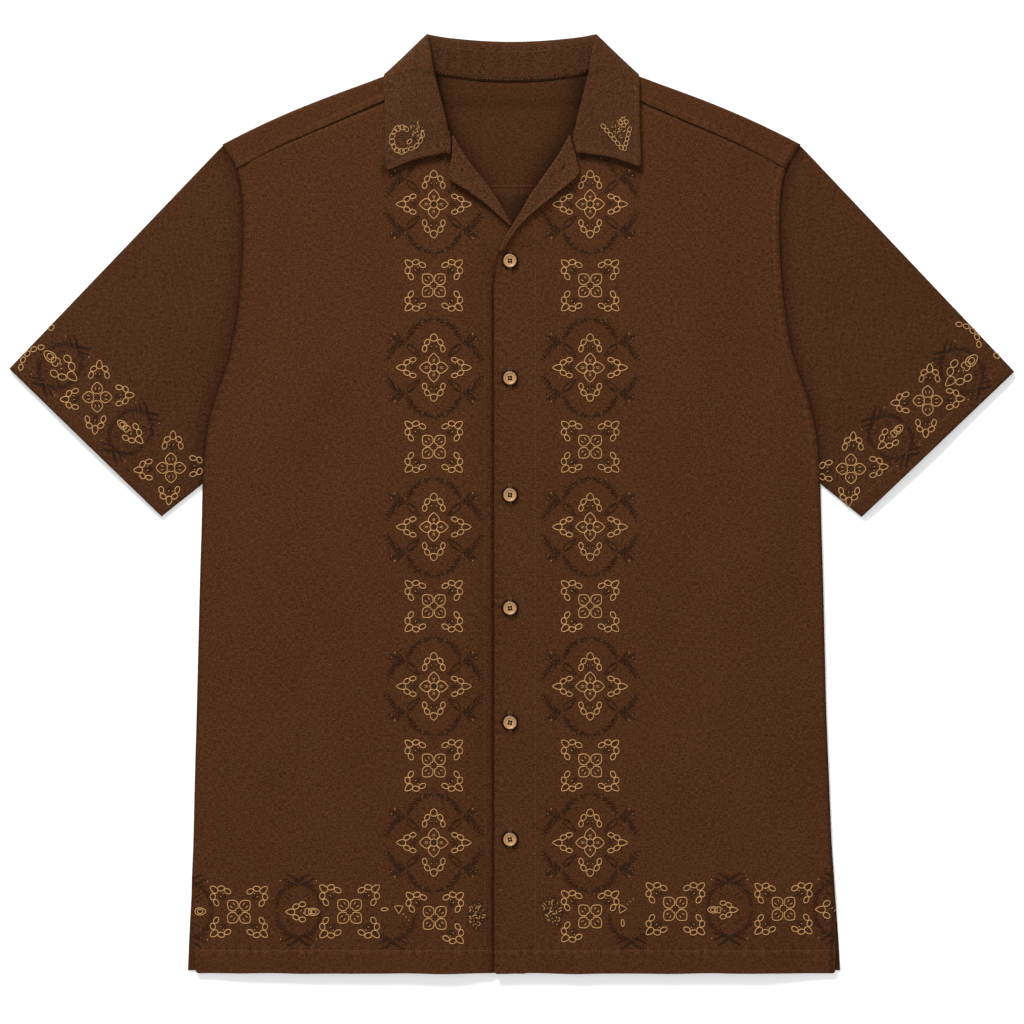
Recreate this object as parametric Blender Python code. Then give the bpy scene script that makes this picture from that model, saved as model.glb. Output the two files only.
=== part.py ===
"""A short-sleeved camp-collar shirt, buttoned and laid flat on its back.

Every piece that a maker would cut is one closed wall of cloth. The shirt lies in the XY plane with
its hem towards -Y, and +Z points up out of the surface that it lies on. X = 0 is the shirt's middle.
Tables below are in millimetres; MM turns them into metres.
"""

import math
from collections import namedtuple

import bpy
import bmesh
from mathutils import Vector

MM = 0.001

# Cloth and seams
CLOTH = 1.2
COLLAR_CLOTH = 1.6
LAPEL_CLOTH = 1.4
SEAM_GAP = 0.3
SLEEVE_SEAM_GAP = 0.4

# Heights of the layers, each the middle of its cloth
BACK_HEIGHT = CLOTH / 2
FOLD_LIFT = 1.8
SIDE_HEIGHT = BACK_HEIGHT + FOLD_LIFT
FRONT_LOFT = 2.6
LOFT_REACH = 70.0
YOKE_LIFT = 2.2
OVERLAP_DIP = 1.4
OVERLAP_RISE = 0.3
BREAK_RISE = 2.0
SLEEVE_LOFT = 2.2

# Seams and edges
YOKE_SEAM_Y = 270.0
NECK_CENTRE_Y = 362.1
NECK_CORNER_X = 66.0
NECK_CORNER_RISE = 6.0
YOKE_NECK_X = 72.0
SHOULDER_SET_BACK = 5.0
UNDER_EDGE_X = 13.3
OVER_EDGE_X = -15.0
FRONT_HEM_Y = -403.0
BACK_HEM_Y = -400.8
BREAK_Y = 215.0

# The middle of the finished shirt's box, which the shirt is moved by to stand on its origin
BOX_MIDDLE_X = 0.25
BOX_MIDDLE_Y = 0.374

# Buttons
BUTTON_X = -1.3
BUTTON_ROWS = [208.5, 107.9, 7.7, -89.4, -187.5, -287.7]
BUTTON_RADIUS = 6.15
BUTTON_THICKNESS = 2.4
BUTTON_SIDES = 16
HOLE_RADIUS = 0.8
HOLE_SPACING = 2.09

# Half widths of the panels, from the hem up to the underarm
Side = namedtuple("Side", "y front_left front_right back_left back_right")
SIDES = [
    Side(-403.0, 270.9, 278.0, 278.2, 282.5),
    Side(-368.0, 273.2, 278.7, 276.8, 280.6),
    Side(-334.0, 274.8, 277.9, 275.0, 278.1),
    Side(-290.0, 273.3, 275.0, 273.3, 275.0),
    Side(-235.0, 272.0, 272.7, 272.0, 272.7),
    Side(-180.0, 270.5, 270.5, 270.5, 270.5),
    Side(-120.0, 269.0, 269.0, 269.0, 269.0),
    Side(-60.0, 267.5, 267.5, 267.5, 267.5),
    Side(-18.0, 266.2, 266.2, 266.2, 266.2),
]

# The armhole seam, from the underarm up to the shoulder fold
Point = namedtuple("Point", "x y")
ARMHOLE = [
    Point(265.3, 19.0),
    Point(263.9, 41.0),
    Point(261.4, 63.0),
    Point(256.0, 86.0),
    Point(249.2, 106.0),
    Point(242.2, 127.0),
    Point(236.4, 156.0),
    Point(232.6, 190.0),
    Point(230.6, 226.0),
    Point(230.9, 256.0),
    Point(232.9, 276.0),
    Point(234.7, 284.0),
    Point(237.0, 291.2),
    Point(242.0, 298.4),
    Point(248.4, 308.6),
]
YOKE_END_POINT = 12

# The shoulder line, the fold of the yoke, from the armhole to the neck
SHOULDER = [
    Point(248.4, 308.6),
    Point(228.0, 319.0),
    Point(200.0, 332.0),
    Point(163.0, 347.2),
    Point(108.5, 367.2),
    Point(72.0, 380.5),
]

# The inner edge of each front above the underarm: overlap, roll line, then neck up to the yoke
UNDER_EDGE = [
    Point(13.3, 28.0),
    Point(13.3, 60.0),
    Point(13.3, 92.0),
    Point(13.3, 124.0),
    Point(13.3, 156.0),
    Point(13.3, 186.0),
    Point(11.0, 212.0),
    Point(-1.0, 238.3),
    Point(-18.9, 268.3),
    Point(-38.2, 290.6),
    Point(-55.8, 318.6),
    Point(-65.2, 336.5),
    Point(-72.4, 362.2),
]
OVER_EDGE = [
    Point(-15.0, 28.0),
    Point(-15.0, 60.0),
    Point(-15.0, 92.0),
    Point(-15.0, 124.0),
    Point(-15.0, 156.0),
    Point(-15.0, 188.0),
    Point(-9.4, 216.0),
    Point(-4.2, 226.2),
    Point(13.0, 255.5),
    Point(34.6, 285.3),
    Point(55.2, 318.6),
    Point(64.4, 336.5),
    Point(72.4, 362.2),
]

# The turned-out facings: the roll line and the outer edge, from the collar seam down to the break
Turn = namedtuple("Turn", "roll_x roll_y edge_x edge_y flare")
UNDER_LAPEL = [
    Turn(-50.0, 315.6, -50.7, 313.0, 0.0),
    Turn(-47.3, 310.5, -51.0, 306.2, 0.0),
    Turn(-41.7, 301.0, -51.2, 298.6, 0.2),
    Turn(-35.7, 292.4, -53.3, 287.2, 0.9),
    Turn(-30.5, 285.5, -54.4, 279.5, 1.6),
    Turn(-24.5, 278.6, -47.7, 274.3, 1.6),
    Turn(-17.6, 269.2, -37.4, 268.3, 1.4),
    Turn(-9.9, 257.1, -22.8, 258.0, 1.0),
    Turn(-3.9, 246.8, -11.6, 248.1, 0.5),
    Turn(0.4, 239.1, -3.9, 241.2, 0.0),
]
OVER_LAPEL = [
    Turn(49.6, 315.8, 50.8, 313.2, 0.0),
    Turn(46.0, 308.7, 52.6, 306.8, 0.0),
    Turn(40.0, 298.4, 54.8, 300.4, 0.2),
    Turn(34.0, 289.8, 56.8, 290.7, 0.9),
    Turn(28.0, 281.2, 58.1, 282.9, 1.6),
    Turn(21.9, 272.6, 50.3, 275.6, 1.6),
    Turn(15.0, 262.3, 38.3, 265.7, 1.4),
    Turn(8.2, 250.3, 25.4, 255.4, 1.0),
    Turn(1.3, 239.1, 11.6, 243.4, 0.6),
    Turn(-5.6, 227.0, 1.5, 231.5, 0.2),
    Turn(-10.8, 216.7, -6.6, 218.6, 0.0),
]
ROLL_RADIUS = 1.15

# One half of the collar, from the middle of the back round to the tip: seam, fold and outer edge.
# A large drop brings the fall down close behind the fold, and arch bows the front edge.
Slice = namedtuple("Slice", "neck_x neck_y neck_z fold_x fold_y fold_z edge_x edge_y edge_z drop arch")
COLLAR = [
    Slice(0.0, 362.5, 3.0, 0.0, 397.6, 6.6, 0.0, 351.0, 0.9, 4.0, 0.0),
    Slice(25.0, 363.4, 3.0, 25.5, 398.4, 6.9, 30.0, 351.5, 0.9, 4.0, 0.0),
    Slice(48.0, 366.1, 3.0, 50.0, 400.4, 7.8, 62.0, 353.0, 0.9, 4.0, 0.0),
    Slice(60.0, 368.2, 3.1, 63.0, 402.0, 9.2, 88.0, 355.5, 0.9, 4.0, 0.0),
    Slice(66.3, 371.6, 3.3, 69.6, 403.0, 10.6, 103.0, 359.5, 0.95, 3.6, 0.0),
    Slice(67.9, 374.0, 3.6, 70.8, 402.9, 11.2, 106.6, 366.6, 1.7, 2.6, 0.0),
    Slice(69.3, 376.6, 4.1, 71.5, 402.4, 11.6, 108.8, 368.6, 4.4, 1.4, 0.0),
    Slice(70.5, 374.0, 5.0, 71.0, 397.0, 12.2, 109.7, 361.5, 7.5, 1.0, 0.0),
    Slice(70.4, 364.0, 5.3, 68.8, 387.0, 12.9, 109.4, 350.0, 7.7, 1.0, 0.0),
    Slice(68.3, 351.0, 5.3, 66.2, 371.0, 12.9, 109.2, 330.0, 7.9, 1.0, 0.0),
    Slice(62.7, 336.0, 5.3, 60.0, 346.0, 11.4, 109.2, 312.0, 8.0, 1.0, 0.4),
    Slice(56.9, 325.0, 6.0, 55.8, 328.5, 9.8, 109.2, 299.0, 8.2, 1.0, 1.2),
    Slice(52.7, 316.6, 7.2, 55.2, 316.8, 8.4, 109.2, 291.0, 8.2, 1.0, 2.2),
    Slice(52.3, 300.4, 7.1, 55.2, 300.0, 7.9, 109.2, 286.4, 8.2, 1.0, 3.0),
]
WING_START = 7
COLLAR_STEPS = 2
LEFT_TIP = Point(107.1, 284.9)
RIGHT_TIP = Point(111.4, 288.0)
LEFT_NOTCH_SHIFTS = (0.0, 0.0)
RIGHT_NOTCH_SHIFTS = (0.4, 3.6)
TURN_DEPTH = 2.2

# Shares across a front from its side to its edge, closer together where the fronts overlap
FRONT_SHARES = [0.0, 0.05, 0.12, 0.22, 0.36, 0.5, 0.65, 0.79, 0.835, 0.88, 0.94, 1.0]

# Distances of the yoke's sections from the shirt's middle
YOKE_SECTIONS = [0.0, 30.0, 52.0, 66.0, 72.0, 90.0, 109.0, 114.0, 126.0, 150.0, 180.0, 215.0, 248.4]

# Sleeves: the two corners of each hem
LEFT_SLEEVE_TOP = Point(-431.3, 116.1)
LEFT_SLEEVE_LOW = Point(-301.0, -10.3)
RIGHT_SLEEVE_TOP = Point(431.8, 113.6)
RIGHT_SLEEVE_LOW = Point(301.2, -10.8)
SLEEVE_RINGS = [0.0, 0.05, 0.2, 0.4, 0.6, 0.8, 0.93, 1.0]
FOLD_LIP = 0.13
UNDERARM_EASE = 0.9


def ease(value):
    """A soft step from 0 to 1 while value goes from 0 to 1."""
    held = max(0.0, min(1.0, value))
    return held * held * (3.0 - 2.0 * held)


def mix(start, end, share):
    return start + (end - start) * share


def read_table(pairs, key):
    """The second value at a key, on straight lines between (key, value) pairs in rising order."""
    if key <= pairs[0][0]:
        return pairs[0][1]
    for low, high in zip(pairs, pairs[1:]):
        if key <= high[0]:
            return mix(low[1], high[1], (key - low[0]) / (high[0] - low[0]))
    return pairs[-1][1]


def curve_through(rows, position):
    """A smooth curve through the rows of a table, read at a position counted in rows."""
    last = len(rows) - 1
    index = min(int(position), last - 1)
    t = position - index
    before = rows[max(index - 1, 0)]
    start = rows[index]
    end = rows[index + 1]
    after = rows[min(index + 2, last)]
    values = []
    for a, b, c, d in zip(before, start, end, after):
        values.append(
            b + 0.5 * t * (c - a + t * (2 * a - 5 * b + 4 * c - d + t * (3 * (b - c) + d - a)))
        )
    return type(start)(*values)


HALF_WIDTHS = [(row.y, (row.front_left + row.front_right) / 2) for row in SIDES]
HALF_WIDTHS += [(point.y, point.x) for point in ARMHOLE]
SHOULDER_LINE = [(point.x, point.y) for point in reversed(SHOULDER)]


def loft(x, y):
    """How far the front lifts off the back, away from the side seams and armholes."""
    inside = read_table(HALF_WIDTHS, y) - abs(x)
    return SIDE_HEIGHT + FRONT_LOFT * ease(inside / LOFT_REACH)


def under_height(x, y):
    """The under front dips where the over front lies on it."""
    return loft(x, y) - OVERLAP_DIP * ease((x + 46.0) / 26.0)


def over_height(x, y):
    """The over front rises a little over the under front, and more at the collar's break."""
    near_edge = ease((44.0 - x) / 26.0)
    break_lift = BREAK_RISE * ease((y - BREAK_Y) / 16.0) * ease((40.0 - x) / 28.0)
    return loft(x, y) + OVERLAP_RISE * near_edge + break_lift


def under_collar(x, y):
    """1 where the yoke lies on the collar's fall and 0 away from it."""
    return ease((y - 341.0) / 7.5) * ease((126.0 - abs(x)) / 13.0)


def shoulder_y(x):
    """The yoke's fold, set back under the collar so that the collar turns round it."""
    covered = ease((113.5 - abs(x)) / 4.0)
    return read_table(SHOULDER_LINE, abs(x)) - SHOULDER_SET_BACK * covered


def front_seam_y(x):
    """The seam between the yoke and a front, a little below the shoulder."""
    along = (abs(x) - YOKE_NECK_X) / (ARMHOLE[YOKE_END_POINT].x - YOKE_NECK_X)
    return mix(UNDER_EDGE[-1].y, ARMHOLE[YOKE_END_POINT].y, along)


def neck_seam_y(x):
    return NECK_CENTRE_Y + NECK_CORNER_RISE * (x / NECK_CORNER_X) ** 2


def make_material(name, colour, roughness):
    material = bpy.data.materials.new(name)
    material.use_nodes = True
    shader = material.node_tree.nodes["Principled BSDF"]
    shader.inputs["Base Color"].default_value = (*colour, 1.0)
    shader.inputs["Roughness"].default_value = roughness
    shader.inputs["Metallic"].default_value = 0.0
    material.diffuse_color = (*colour, 1.0)
    return material


def add_object(name, shape, material):
    mesh = bpy.data.meshes.new(name)
    shape.to_mesh(mesh)
    shape.free()
    mesh.shade_smooth()
    mesh.set_sharp_from_angle(angle=math.radians(40.0))
    mesh.materials.append(material)
    piece = bpy.data.objects.new(name, mesh)
    bpy.context.scene.collection.objects.link(piece)
    return piece


def thicken(piece, thickness, even):
    """Gives a sheet its cloth, half on each side."""
    wall = piece.modifiers.new("cloth", "SOLIDIFY")
    wall.thickness = thickness * MM
    wall.offset = 0.0
    wall.use_even_offset = even
    wall.use_quality_normals = True
    return piece


def sheet(name, columns, rows, place, thickness, material, keep=None, even=True):
    """A grid whose corner (column, row) is placed by a function, then thickened into a wall."""
    shape = bmesh.new()
    bmesh.ops.create_grid(shape, x_segments=columns, y_segments=rows, size=0.5)
    cells = {}
    for vertex in shape.verts:
        column = round((vertex.co.x + 0.5) * columns)
        row = round((vertex.co.y + 0.5) * rows)
        cells[vertex] = (column, row)
    if keep:
        lost = []
        for face in shape.faces:
            column = min(cells[vertex][0] for vertex in face.verts)
            row = min(cells[vertex][1] for vertex in face.verts)
            if not keep(column, row):
                lost.append(face)
        bmesh.ops.delete(shape, geom=lost, context="FACES")
    for vertex in shape.verts:
        vertex.co = Vector(place(*cells[vertex])) * MM
    bmesh.ops.remove_doubles(shape, verts=shape.verts, dist=0.01 * MM)
    return thicken(add_object(name, shape, material), thickness, even)


def make_back(material):
    """The back panel, flat on the surface from the hem to the yoke seam."""
    rows = [(-row.back_left, row.back_right, row.y) for row in SIDES]
    rows[0] = (rows[0][0], rows[0][1], BACK_HEM_Y)
    rows += [(-point.x, point.x, point.y) for point in ARMHOLE if point.y < YOKE_SEAM_Y]
    seam = YOKE_SEAM_Y - SEAM_GAP / 2
    width = read_table(HALF_WIDTHS, seam)
    rows.append((-width, width, seam))
    columns = 10

    def place(column, row):
        left, right, y = rows[row]
        return mix(left, right, column / columns), y, BACK_HEIGHT

    return sheet("back", columns, len(rows) - 1, place, CLOTH, material)


def make_front(name, direction, widths, edge, edge_x, height, material):
    """One front, from its side seam and armhole to its edge, roll line and neck."""
    levels = [FRONT_HEM_Y] + [row.y for row in SIDES[1:]]
    outer = [Point(direction * width, y) for width, y in zip(widths, levels)]
    outer += [Point(direction * point.x, point.y) for point in ARMHOLE[:YOKE_END_POINT + 1]]
    inner = [Point(edge_x, y) for y in levels] + edge
    last = len(outer) - 1

    def place(column, row):
        share = FRONT_SHARES[column]
        x = mix(outer[row].x, inner[row].x, share)
        y = mix(outer[row].y, inner[row].y, share)
        if row == last:
            y = front_seam_y(x) - SEAM_GAP / 2
        return x, y, height(x, y)

    return sheet(name, len(FRONT_SHARES) - 1, last, place, CLOTH, material)


def make_yoke(material):
    """The yoke runs from the back seam up over the shoulders, with the neck left open between them."""
    seam = YOKE_SEAM_Y + SEAM_GAP / 2
    fold_end = ARMHOLE[-1].y - FOLD_LIFT / 2
    back_points = [point.y for point in ARMHOLE if seam < point.y < ARMHOLE[-1].y]
    back_shares = [0.0] + [(y - seam) / (fold_end - seam) for y in back_points] + [0.8, 0.86, 1.0]
    front_end = ARMHOLE[YOKE_END_POINT].y + SEAM_GAP / 2
    front_shares = [(fold_end - ARMHOLE[-2].y) / (fold_end - front_end), 1.0]
    turn_angles = [45.0, 90.0, 135.0, 180.0]
    sections = [-x for x in reversed(YOKE_SECTIONS[1:])] + YOKE_SECTIONS
    fold_row = len(back_shares) - 1
    turn_row = fold_row + len(turn_angles)
    row_count = turn_row + len(front_shares)
    widths = [(point.y, point.x) for point in ARMHOLE]
    full = ARMHOLE[-1].x

    def profile(x, row):
        """The height along the shirt and off the surface of one row, at a distance from the middle."""
        crest = shoulder_y(x)
        low = BACK_HEIGHT + YOKE_LIFT * under_collar(x, crest)
        radius = (loft(x, crest) - low) / 2
        base = crest - radius
        if abs(x) < YOKE_NECK_X - 1.0:
            base = neck_seam_y(x)
        if row <= fold_row:
            y = mix(seam, base, back_shares[row])
            return y, BACK_HEIGHT + YOKE_LIFT * under_collar(x, y)
        if row <= turn_row:
            angle = math.radians(turn_angles[row - fold_row - 1])
            return base + radius * math.sin(angle), low + radius * (1.0 - math.cos(angle))
        front = front_seam_y(x) + SEAM_GAP / 2
        y = mix(base, front, front_shares[row - turn_row - 1])
        return y, loft(x, y)

    def place(column, row):
        x = sections[column]
        y, z = profile(x, row)
        end_y = profile(full, row)[0]
        end_x = read_table(widths, end_y)
        pull = (full - end_x) * (abs(x) / full) ** 6
        x -= math.copysign(pull, x)
        if row == row_count:
            y = front_seam_y(x) + SEAM_GAP / 2
        return x, y, z

    def keep(column, row):
        left = abs(sections[column])
        right = abs(sections[column + 1])
        return row < fold_row or min(left, right) > YOKE_NECK_X - 1.0

    return sheet("yoke", len(sections) - 1, row_count, place, CLOTH, material, keep)


def make_lapel(name, table, height, material):
    """The facing turned out along the roll line, lying on its front."""
    angles = [-90.0, -45.0, 0.0, 45.0, 90.0]
    shares = [0.3, 0.6, 0.85, 1.0]
    columns = len(angles) + len(shares) - 1

    def place(column, row):
        turn = table[row]
        before = table[max(row - 1, 0)]
        after = table[min(row + 1, len(table) - 1)]
        roll_x = after.roll_x - before.roll_x
        roll_y = after.roll_y - before.roll_y
        length = math.hypot(roll_x, roll_y)
        side = roll_x * (turn.edge_y - turn.roll_y) - roll_y * (turn.edge_x - turn.roll_x)
        side = math.copysign(1.0, side)
        away_x = -side * roll_y / length
        away_y = side * roll_x / length
        if column < len(angles):
            angle = math.radians(angles[column])
            reach = ROLL_RADIUS * (1.0 - math.cos(angle))
            rise = ROLL_RADIUS * (1.0 + math.sin(angle))
            x = turn.roll_x + away_x * reach
            y = turn.roll_y + away_y * reach
            return x, y, height(turn.roll_x, turn.roll_y) + rise
        share = shares[column - len(angles)]
        x = mix(turn.roll_x + away_x * ROLL_RADIUS, turn.edge_x, share)
        y = mix(turn.roll_y + away_y * ROLL_RADIUS, turn.edge_y, share)
        return x, y, height(x, y) + 2 * ROLL_RADIUS + turn.flare * share ** 2

    return sheet(name, columns, len(table) - 1, place, LAPEL_CLOTH, material, even=False)


def collar_side(direction, tip, notch_shifts):
    """Half of the collar, with the wing drawn out to its own tip and notch."""
    last = len(COLLAR) - 1
    slices = []
    for index, row in enumerate(COLLAR):
        progress = max(0, index - WING_START) / (last - WING_START)
        edge_x = row.edge_x + (tip.x - COLLAR[last].edge_x) * progress
        edge_y = row.edge_y + (tip.y - COLLAR[last].edge_y) * progress
        shift = 0.0
        if index >= last - 1:
            shift = notch_shifts[index - last + 1]
        slices.append(
            row._replace(
                neck_x=direction * (row.neck_x + shift),
                fold_x=direction * (row.fold_x + shift),
                edge_x=direction * edge_x,
                edge_y=edge_y,
            )
        )
    return slices


def make_collar(material):
    """One band: the stand rises from the neck seam, turns over at the fold and falls to its edge."""
    left = collar_side(-1.0, LEFT_TIP, LEFT_NOTCH_SHIFTS)
    right = collar_side(1.0, RIGHT_TIP, RIGHT_NOTCH_SHIFTS)
    table = list(reversed(left[1:])) + right
    stand_shares = [0.0, 0.35, 0.7]
    fall_shares = [0.09, 0.22, 0.42, 0.7, 1.0]
    rows = len(stand_shares) + len(fall_shares)

    def place(column, row):
        cut = curve_through(table, column / COLLAR_STEPS)
        turned = (cut.drop - 1.0) / 3.0
        if row < len(stand_shares):
            share = stand_shares[row]
            x = mix(cut.neck_x, cut.fold_x, share)
            y = mix(cut.neck_y, cut.fold_y, share)
            return x, y, mix(cut.neck_z, cut.fold_z, share)
        if row == len(stand_shares):
            return cut.fold_x, cut.fold_y, cut.fold_z - 0.5 * TURN_DEPTH * turned
        share = fall_shares[row - len(stand_shares) - 1]
        start_z = cut.fold_z - TURN_DEPTH * turned
        x = mix(cut.fold_x, cut.edge_x, share)
        y = mix(cut.fold_y, cut.edge_y, share) + cut.arch * math.sin(math.pi * share)
        return x, y, cut.edge_z + (start_z - cut.edge_z) * (1.0 - share) ** cut.drop

    columns = (len(table) - 1) * COLLAR_STEPS
    return sheet("collar", columns, rows, place, COLLAR_CLOTH, material, even=False)


def make_sleeve(name, direction, top, low, material):
    """A flattened tube from the armhole to the hem, open at both ends."""
    points = [Point(direction * (point.x + SLEEVE_SEAM_GAP), point.y) for point in reversed(ARMHOLE)]
    underarm = points[-1]
    points[-1] = Point(underarm.x + direction * UNDERARM_EASE, underarm.y + UNDERARM_EASE)
    lengths = [0.0]
    for start, end in zip(points, points[1:]):
        lengths.append(lengths[-1] + math.dist(start, end))
    shares = [length / lengths[-1] for length in lengths]
    last = len(points) - 1

    Station = namedtuple("Station", "place front")
    front = [Station(0.0, 0.5), Station(FOLD_LIP, 0.93)]
    front += [Station(float(index), 1.0) for index in range(1, last)]
    front += [Station(last - FOLD_LIP, 0.93), Station(float(last), 0.5)]
    back = [Station(station.place, 1.0 - station.front) for station in reversed(front[1:-1])]
    around = front + back

    def place(column, row):
        station = around[column % len(around)]
        index = min(int(station.place), last - 1)
        part = station.place - index
        start_x = mix(points[index].x, points[index + 1].x, part)
        start_y = mix(points[index].y, points[index + 1].y, part)
        across = mix(shares[index], shares[index + 1], part)
        along = SLEEVE_RINGS[row]
        x = mix(start_x, mix(top.x, low.x, across), along)
        y = mix(start_y, mix(top.y, low.y, across), along)
        bulge = math.sin(math.pi * across) * ease(along / 0.3) * (1.0 - 0.35 * along)
        return x, y, BACK_HEIGHT + (FOLD_LIFT + SLEEVE_LOFT * bulge) * station.front

    return sheet(name, len(around), len(SLEEVE_RINGS) - 1, place, CLOTH, material)


def make_hole_cutter():
    """Four small round drills, for the thread."""
    shape = bmesh.new()
    for across in (-0.5, 0.5):
        for along in (-0.5, 0.5):
            drill = bmesh.ops.create_cone(
                shape,
                cap_ends=True,
                segments=6,
                radius1=HOLE_RADIUS * MM,
                radius2=HOLE_RADIUS * MM,
                depth=3 * BUTTON_THICKNESS * MM,
            )
            offset = Vector((across * HOLE_SPACING, along * HOLE_SPACING, 0.0)) * MM
            bmesh.ops.translate(shape, verts=drill["verts"], vec=offset)
    mesh = bpy.data.meshes.new("button_drill")
    shape.to_mesh(mesh)
    shape.free()
    cutter = bpy.data.objects.new("button_drill", mesh)
    bpy.context.scene.collection.objects.link(cutter)
    cutter.hide_render = True
    cutter.display_type = "WIRE"
    return cutter


def make_buttons(material):
    """Turned buttons: a soft rim round a shallow dish, with four holes."""
    radius = BUTTON_RADIUS
    height = BUTTON_THICKNESS
    profile = [
        (0.0, 0.0),
        (0.84 * radius, 0.0),
        (radius, 0.38 * height),
        (0.93 * radius, 0.86 * height),
        (0.8 * radius, height),
        (0.64 * radius, 0.72 * height),
        (0.0, 0.62 * height),
    ]
    cutter = make_hole_cutter()
    for index, y in enumerate(BUTTON_ROWS):
        shape = bmesh.new()
        verts = [shape.verts.new((x * MM, 0.0, z * MM)) for x, z in profile]
        edges = [shape.edges.new(pair) for pair in zip(verts, verts[1:])]
        bmesh.ops.spin(
            shape,
            geom=verts + edges,
            cent=(0.0, 0.0, 0.0),
            axis=(0.0, 0.0, 1.0),
            angle=math.tau,
            steps=BUTTON_SIDES,
        )
        bmesh.ops.remove_doubles(shape, verts=shape.verts, dist=0.01 * MM)
        bmesh.ops.recalc_face_normals(shape, faces=shape.faces)
        piece = add_object(f"button_{index + 1}", shape, material)
        seat = over_height(BUTTON_X, y) + CLOTH / 2 + SEAM_GAP
        piece.location = Vector((BUTTON_X, y, seat)) * MM
        holes = piece.modifiers.new("holes", "BOOLEAN")
        holes.operation = "DIFFERENCE"
        holes.solver = "EXACT"
        drill = cutter if index == 0 else cutter.copy()
        if index:
            bpy.context.scene.collection.objects.link(drill)
        drill.location = piece.location
        holes.object = drill


def make_shirt():
    for old in list(bpy.data.objects):
        bpy.data.objects.remove(old, do_unlink=True)

    body = make_material("brown_cloth", (0.085, 0.031, 0.012), 0.9)
    trim = make_material("brown_cloth_double", (0.122, 0.054, 0.022), 0.88)
    shell = make_material("coconut_shell", (0.565, 0.328, 0.141), 0.5)

    make_back(body)
    make_yoke(body)
    left_widths = [row.front_left for row in SIDES]
    right_widths = [row.front_right for row in SIDES]
    make_front("front_under", -1.0, left_widths, UNDER_EDGE, UNDER_EDGE_X, under_height, body)
    make_front("front_over", 1.0, right_widths, OVER_EDGE, OVER_EDGE_X, over_height, body)
    make_lapel("lapel_under", UNDER_LAPEL, under_height, trim)
    make_lapel("lapel_over", OVER_LAPEL, over_height, trim)
    make_collar(trim)
    make_sleeve("sleeve_left", -1.0, LEFT_SLEEVE_TOP, LEFT_SLEEVE_LOW, body)
    make_sleeve("sleeve_right", 1.0, RIGHT_SLEEVE_TOP, RIGHT_SLEEVE_LOW, body)
    make_buttons(shell)

    shirt = bpy.data.objects.new("shirt", None)
    bpy.context.scene.collection.objects.link(shirt)
    shirt.location = Vector((-BOX_MIDDLE_X, -BOX_MIDDLE_Y, 0.0)) * MM
    for piece in bpy.data.objects:
        if piece.type == "MESH":
            piece.parent = shirt


make_shirt()
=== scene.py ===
# %% [markdown]
# # A brown camp-collar shirt, laid flat
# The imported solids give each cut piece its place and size. This script dresses them: fine cloth
# shells with their creases, the topstitching, the embroidery, the buttonholes and the buttons.
# Everything is worked out in millimetres first, because that is how a shirt maker measures, and
# turned into Blender's metres as it is placed.

# %% Load the frame
import math
from collections import namedtuple

import bmesh
import bpy
from mathutils import Matrix, Vector, noise
from mathutils.bvhtree import BVHTree


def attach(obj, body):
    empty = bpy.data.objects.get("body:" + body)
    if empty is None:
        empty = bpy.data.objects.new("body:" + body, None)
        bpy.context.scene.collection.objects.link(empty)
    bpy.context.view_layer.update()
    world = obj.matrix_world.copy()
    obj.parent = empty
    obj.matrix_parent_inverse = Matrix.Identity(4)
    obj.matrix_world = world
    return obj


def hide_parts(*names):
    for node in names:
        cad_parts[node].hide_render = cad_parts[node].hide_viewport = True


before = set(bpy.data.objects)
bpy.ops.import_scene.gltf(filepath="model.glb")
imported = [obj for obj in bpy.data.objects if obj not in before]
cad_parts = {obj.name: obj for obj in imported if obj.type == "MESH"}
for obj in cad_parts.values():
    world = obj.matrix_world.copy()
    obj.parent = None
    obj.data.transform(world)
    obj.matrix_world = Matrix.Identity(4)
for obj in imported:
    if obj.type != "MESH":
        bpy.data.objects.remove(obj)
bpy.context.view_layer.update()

MM = 0.001

# %% [markdown]
# ## The sizes of the shirt
# A paper pattern is a handful of outlines. The same tables that shape the solids are repeated here:
# half widths up the side seam, the armhole, the shoulder line and the inner edges of the fronts.
# The whole shirt is then shifted by less than half a millimetre, so that its box is centred on the
# origin.

# %% Cloth, layers and edges
CLOTH = 0.9
COLLAR_CLOTH = 1.2
SOLID_CLOTH = 1.2
SEAM_GAP = 0.3
BACK_HEIGHT = CLOTH / 2
SIDE_HEIGHT = 2.4
FRONT_LOFT = 2.6
LOFT_REACH = 70.0
YOKE_LIFT = 2.2
OVERLAP_DIP = 1.4
OVERLAP_RISE = 0.3
BREAK_RISE = 2.0
SLEEVE_LOFT = 2.2
YOKE_SEAM_Y = 270.0
NECK_CENTRE_Y = 362.1
NECK_CORNER_X = 66.0
NECK_CORNER_RISE = 6.0
YOKE_NECK_X = 72.0
SHOULDER_SET_BACK = 5.0
UNDER_EDGE_X = 13.3
OVER_EDGE_X = -15.0
FRONT_HEM_Y = -403.0
BACK_HEM_Y = -400.8
BREAK_Y = 215.0
BUTTON_X = -1.3
BUTTON_ROWS = [208.5, 107.9, 7.7, -89.4, -187.5, -287.7]
BUTTON_RADIUS = 6.15
NEAR_BUTTON = 12.0
BOX_MIDDLE = Vector((0.25, 0.374, 0.0))
TURN_DEPTH = 2.2
ROLL_RADIUS = 1.15
print("mean distance between buttons", round((BUTTON_ROWS[0] - BUTTON_ROWS[-1]) / 5, 1), "mm")

# %% [markdown]
# ## Side seams, armholes and shoulders
# The outline of the body, up one side from the hem. The shirt is pressed flat, so its two sides
# nearly mirror each other and only the hem corners swing out differently. The armhole goes on from
# the side seam up to the shoulder point, where the shoulder line takes over towards the neck.

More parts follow.
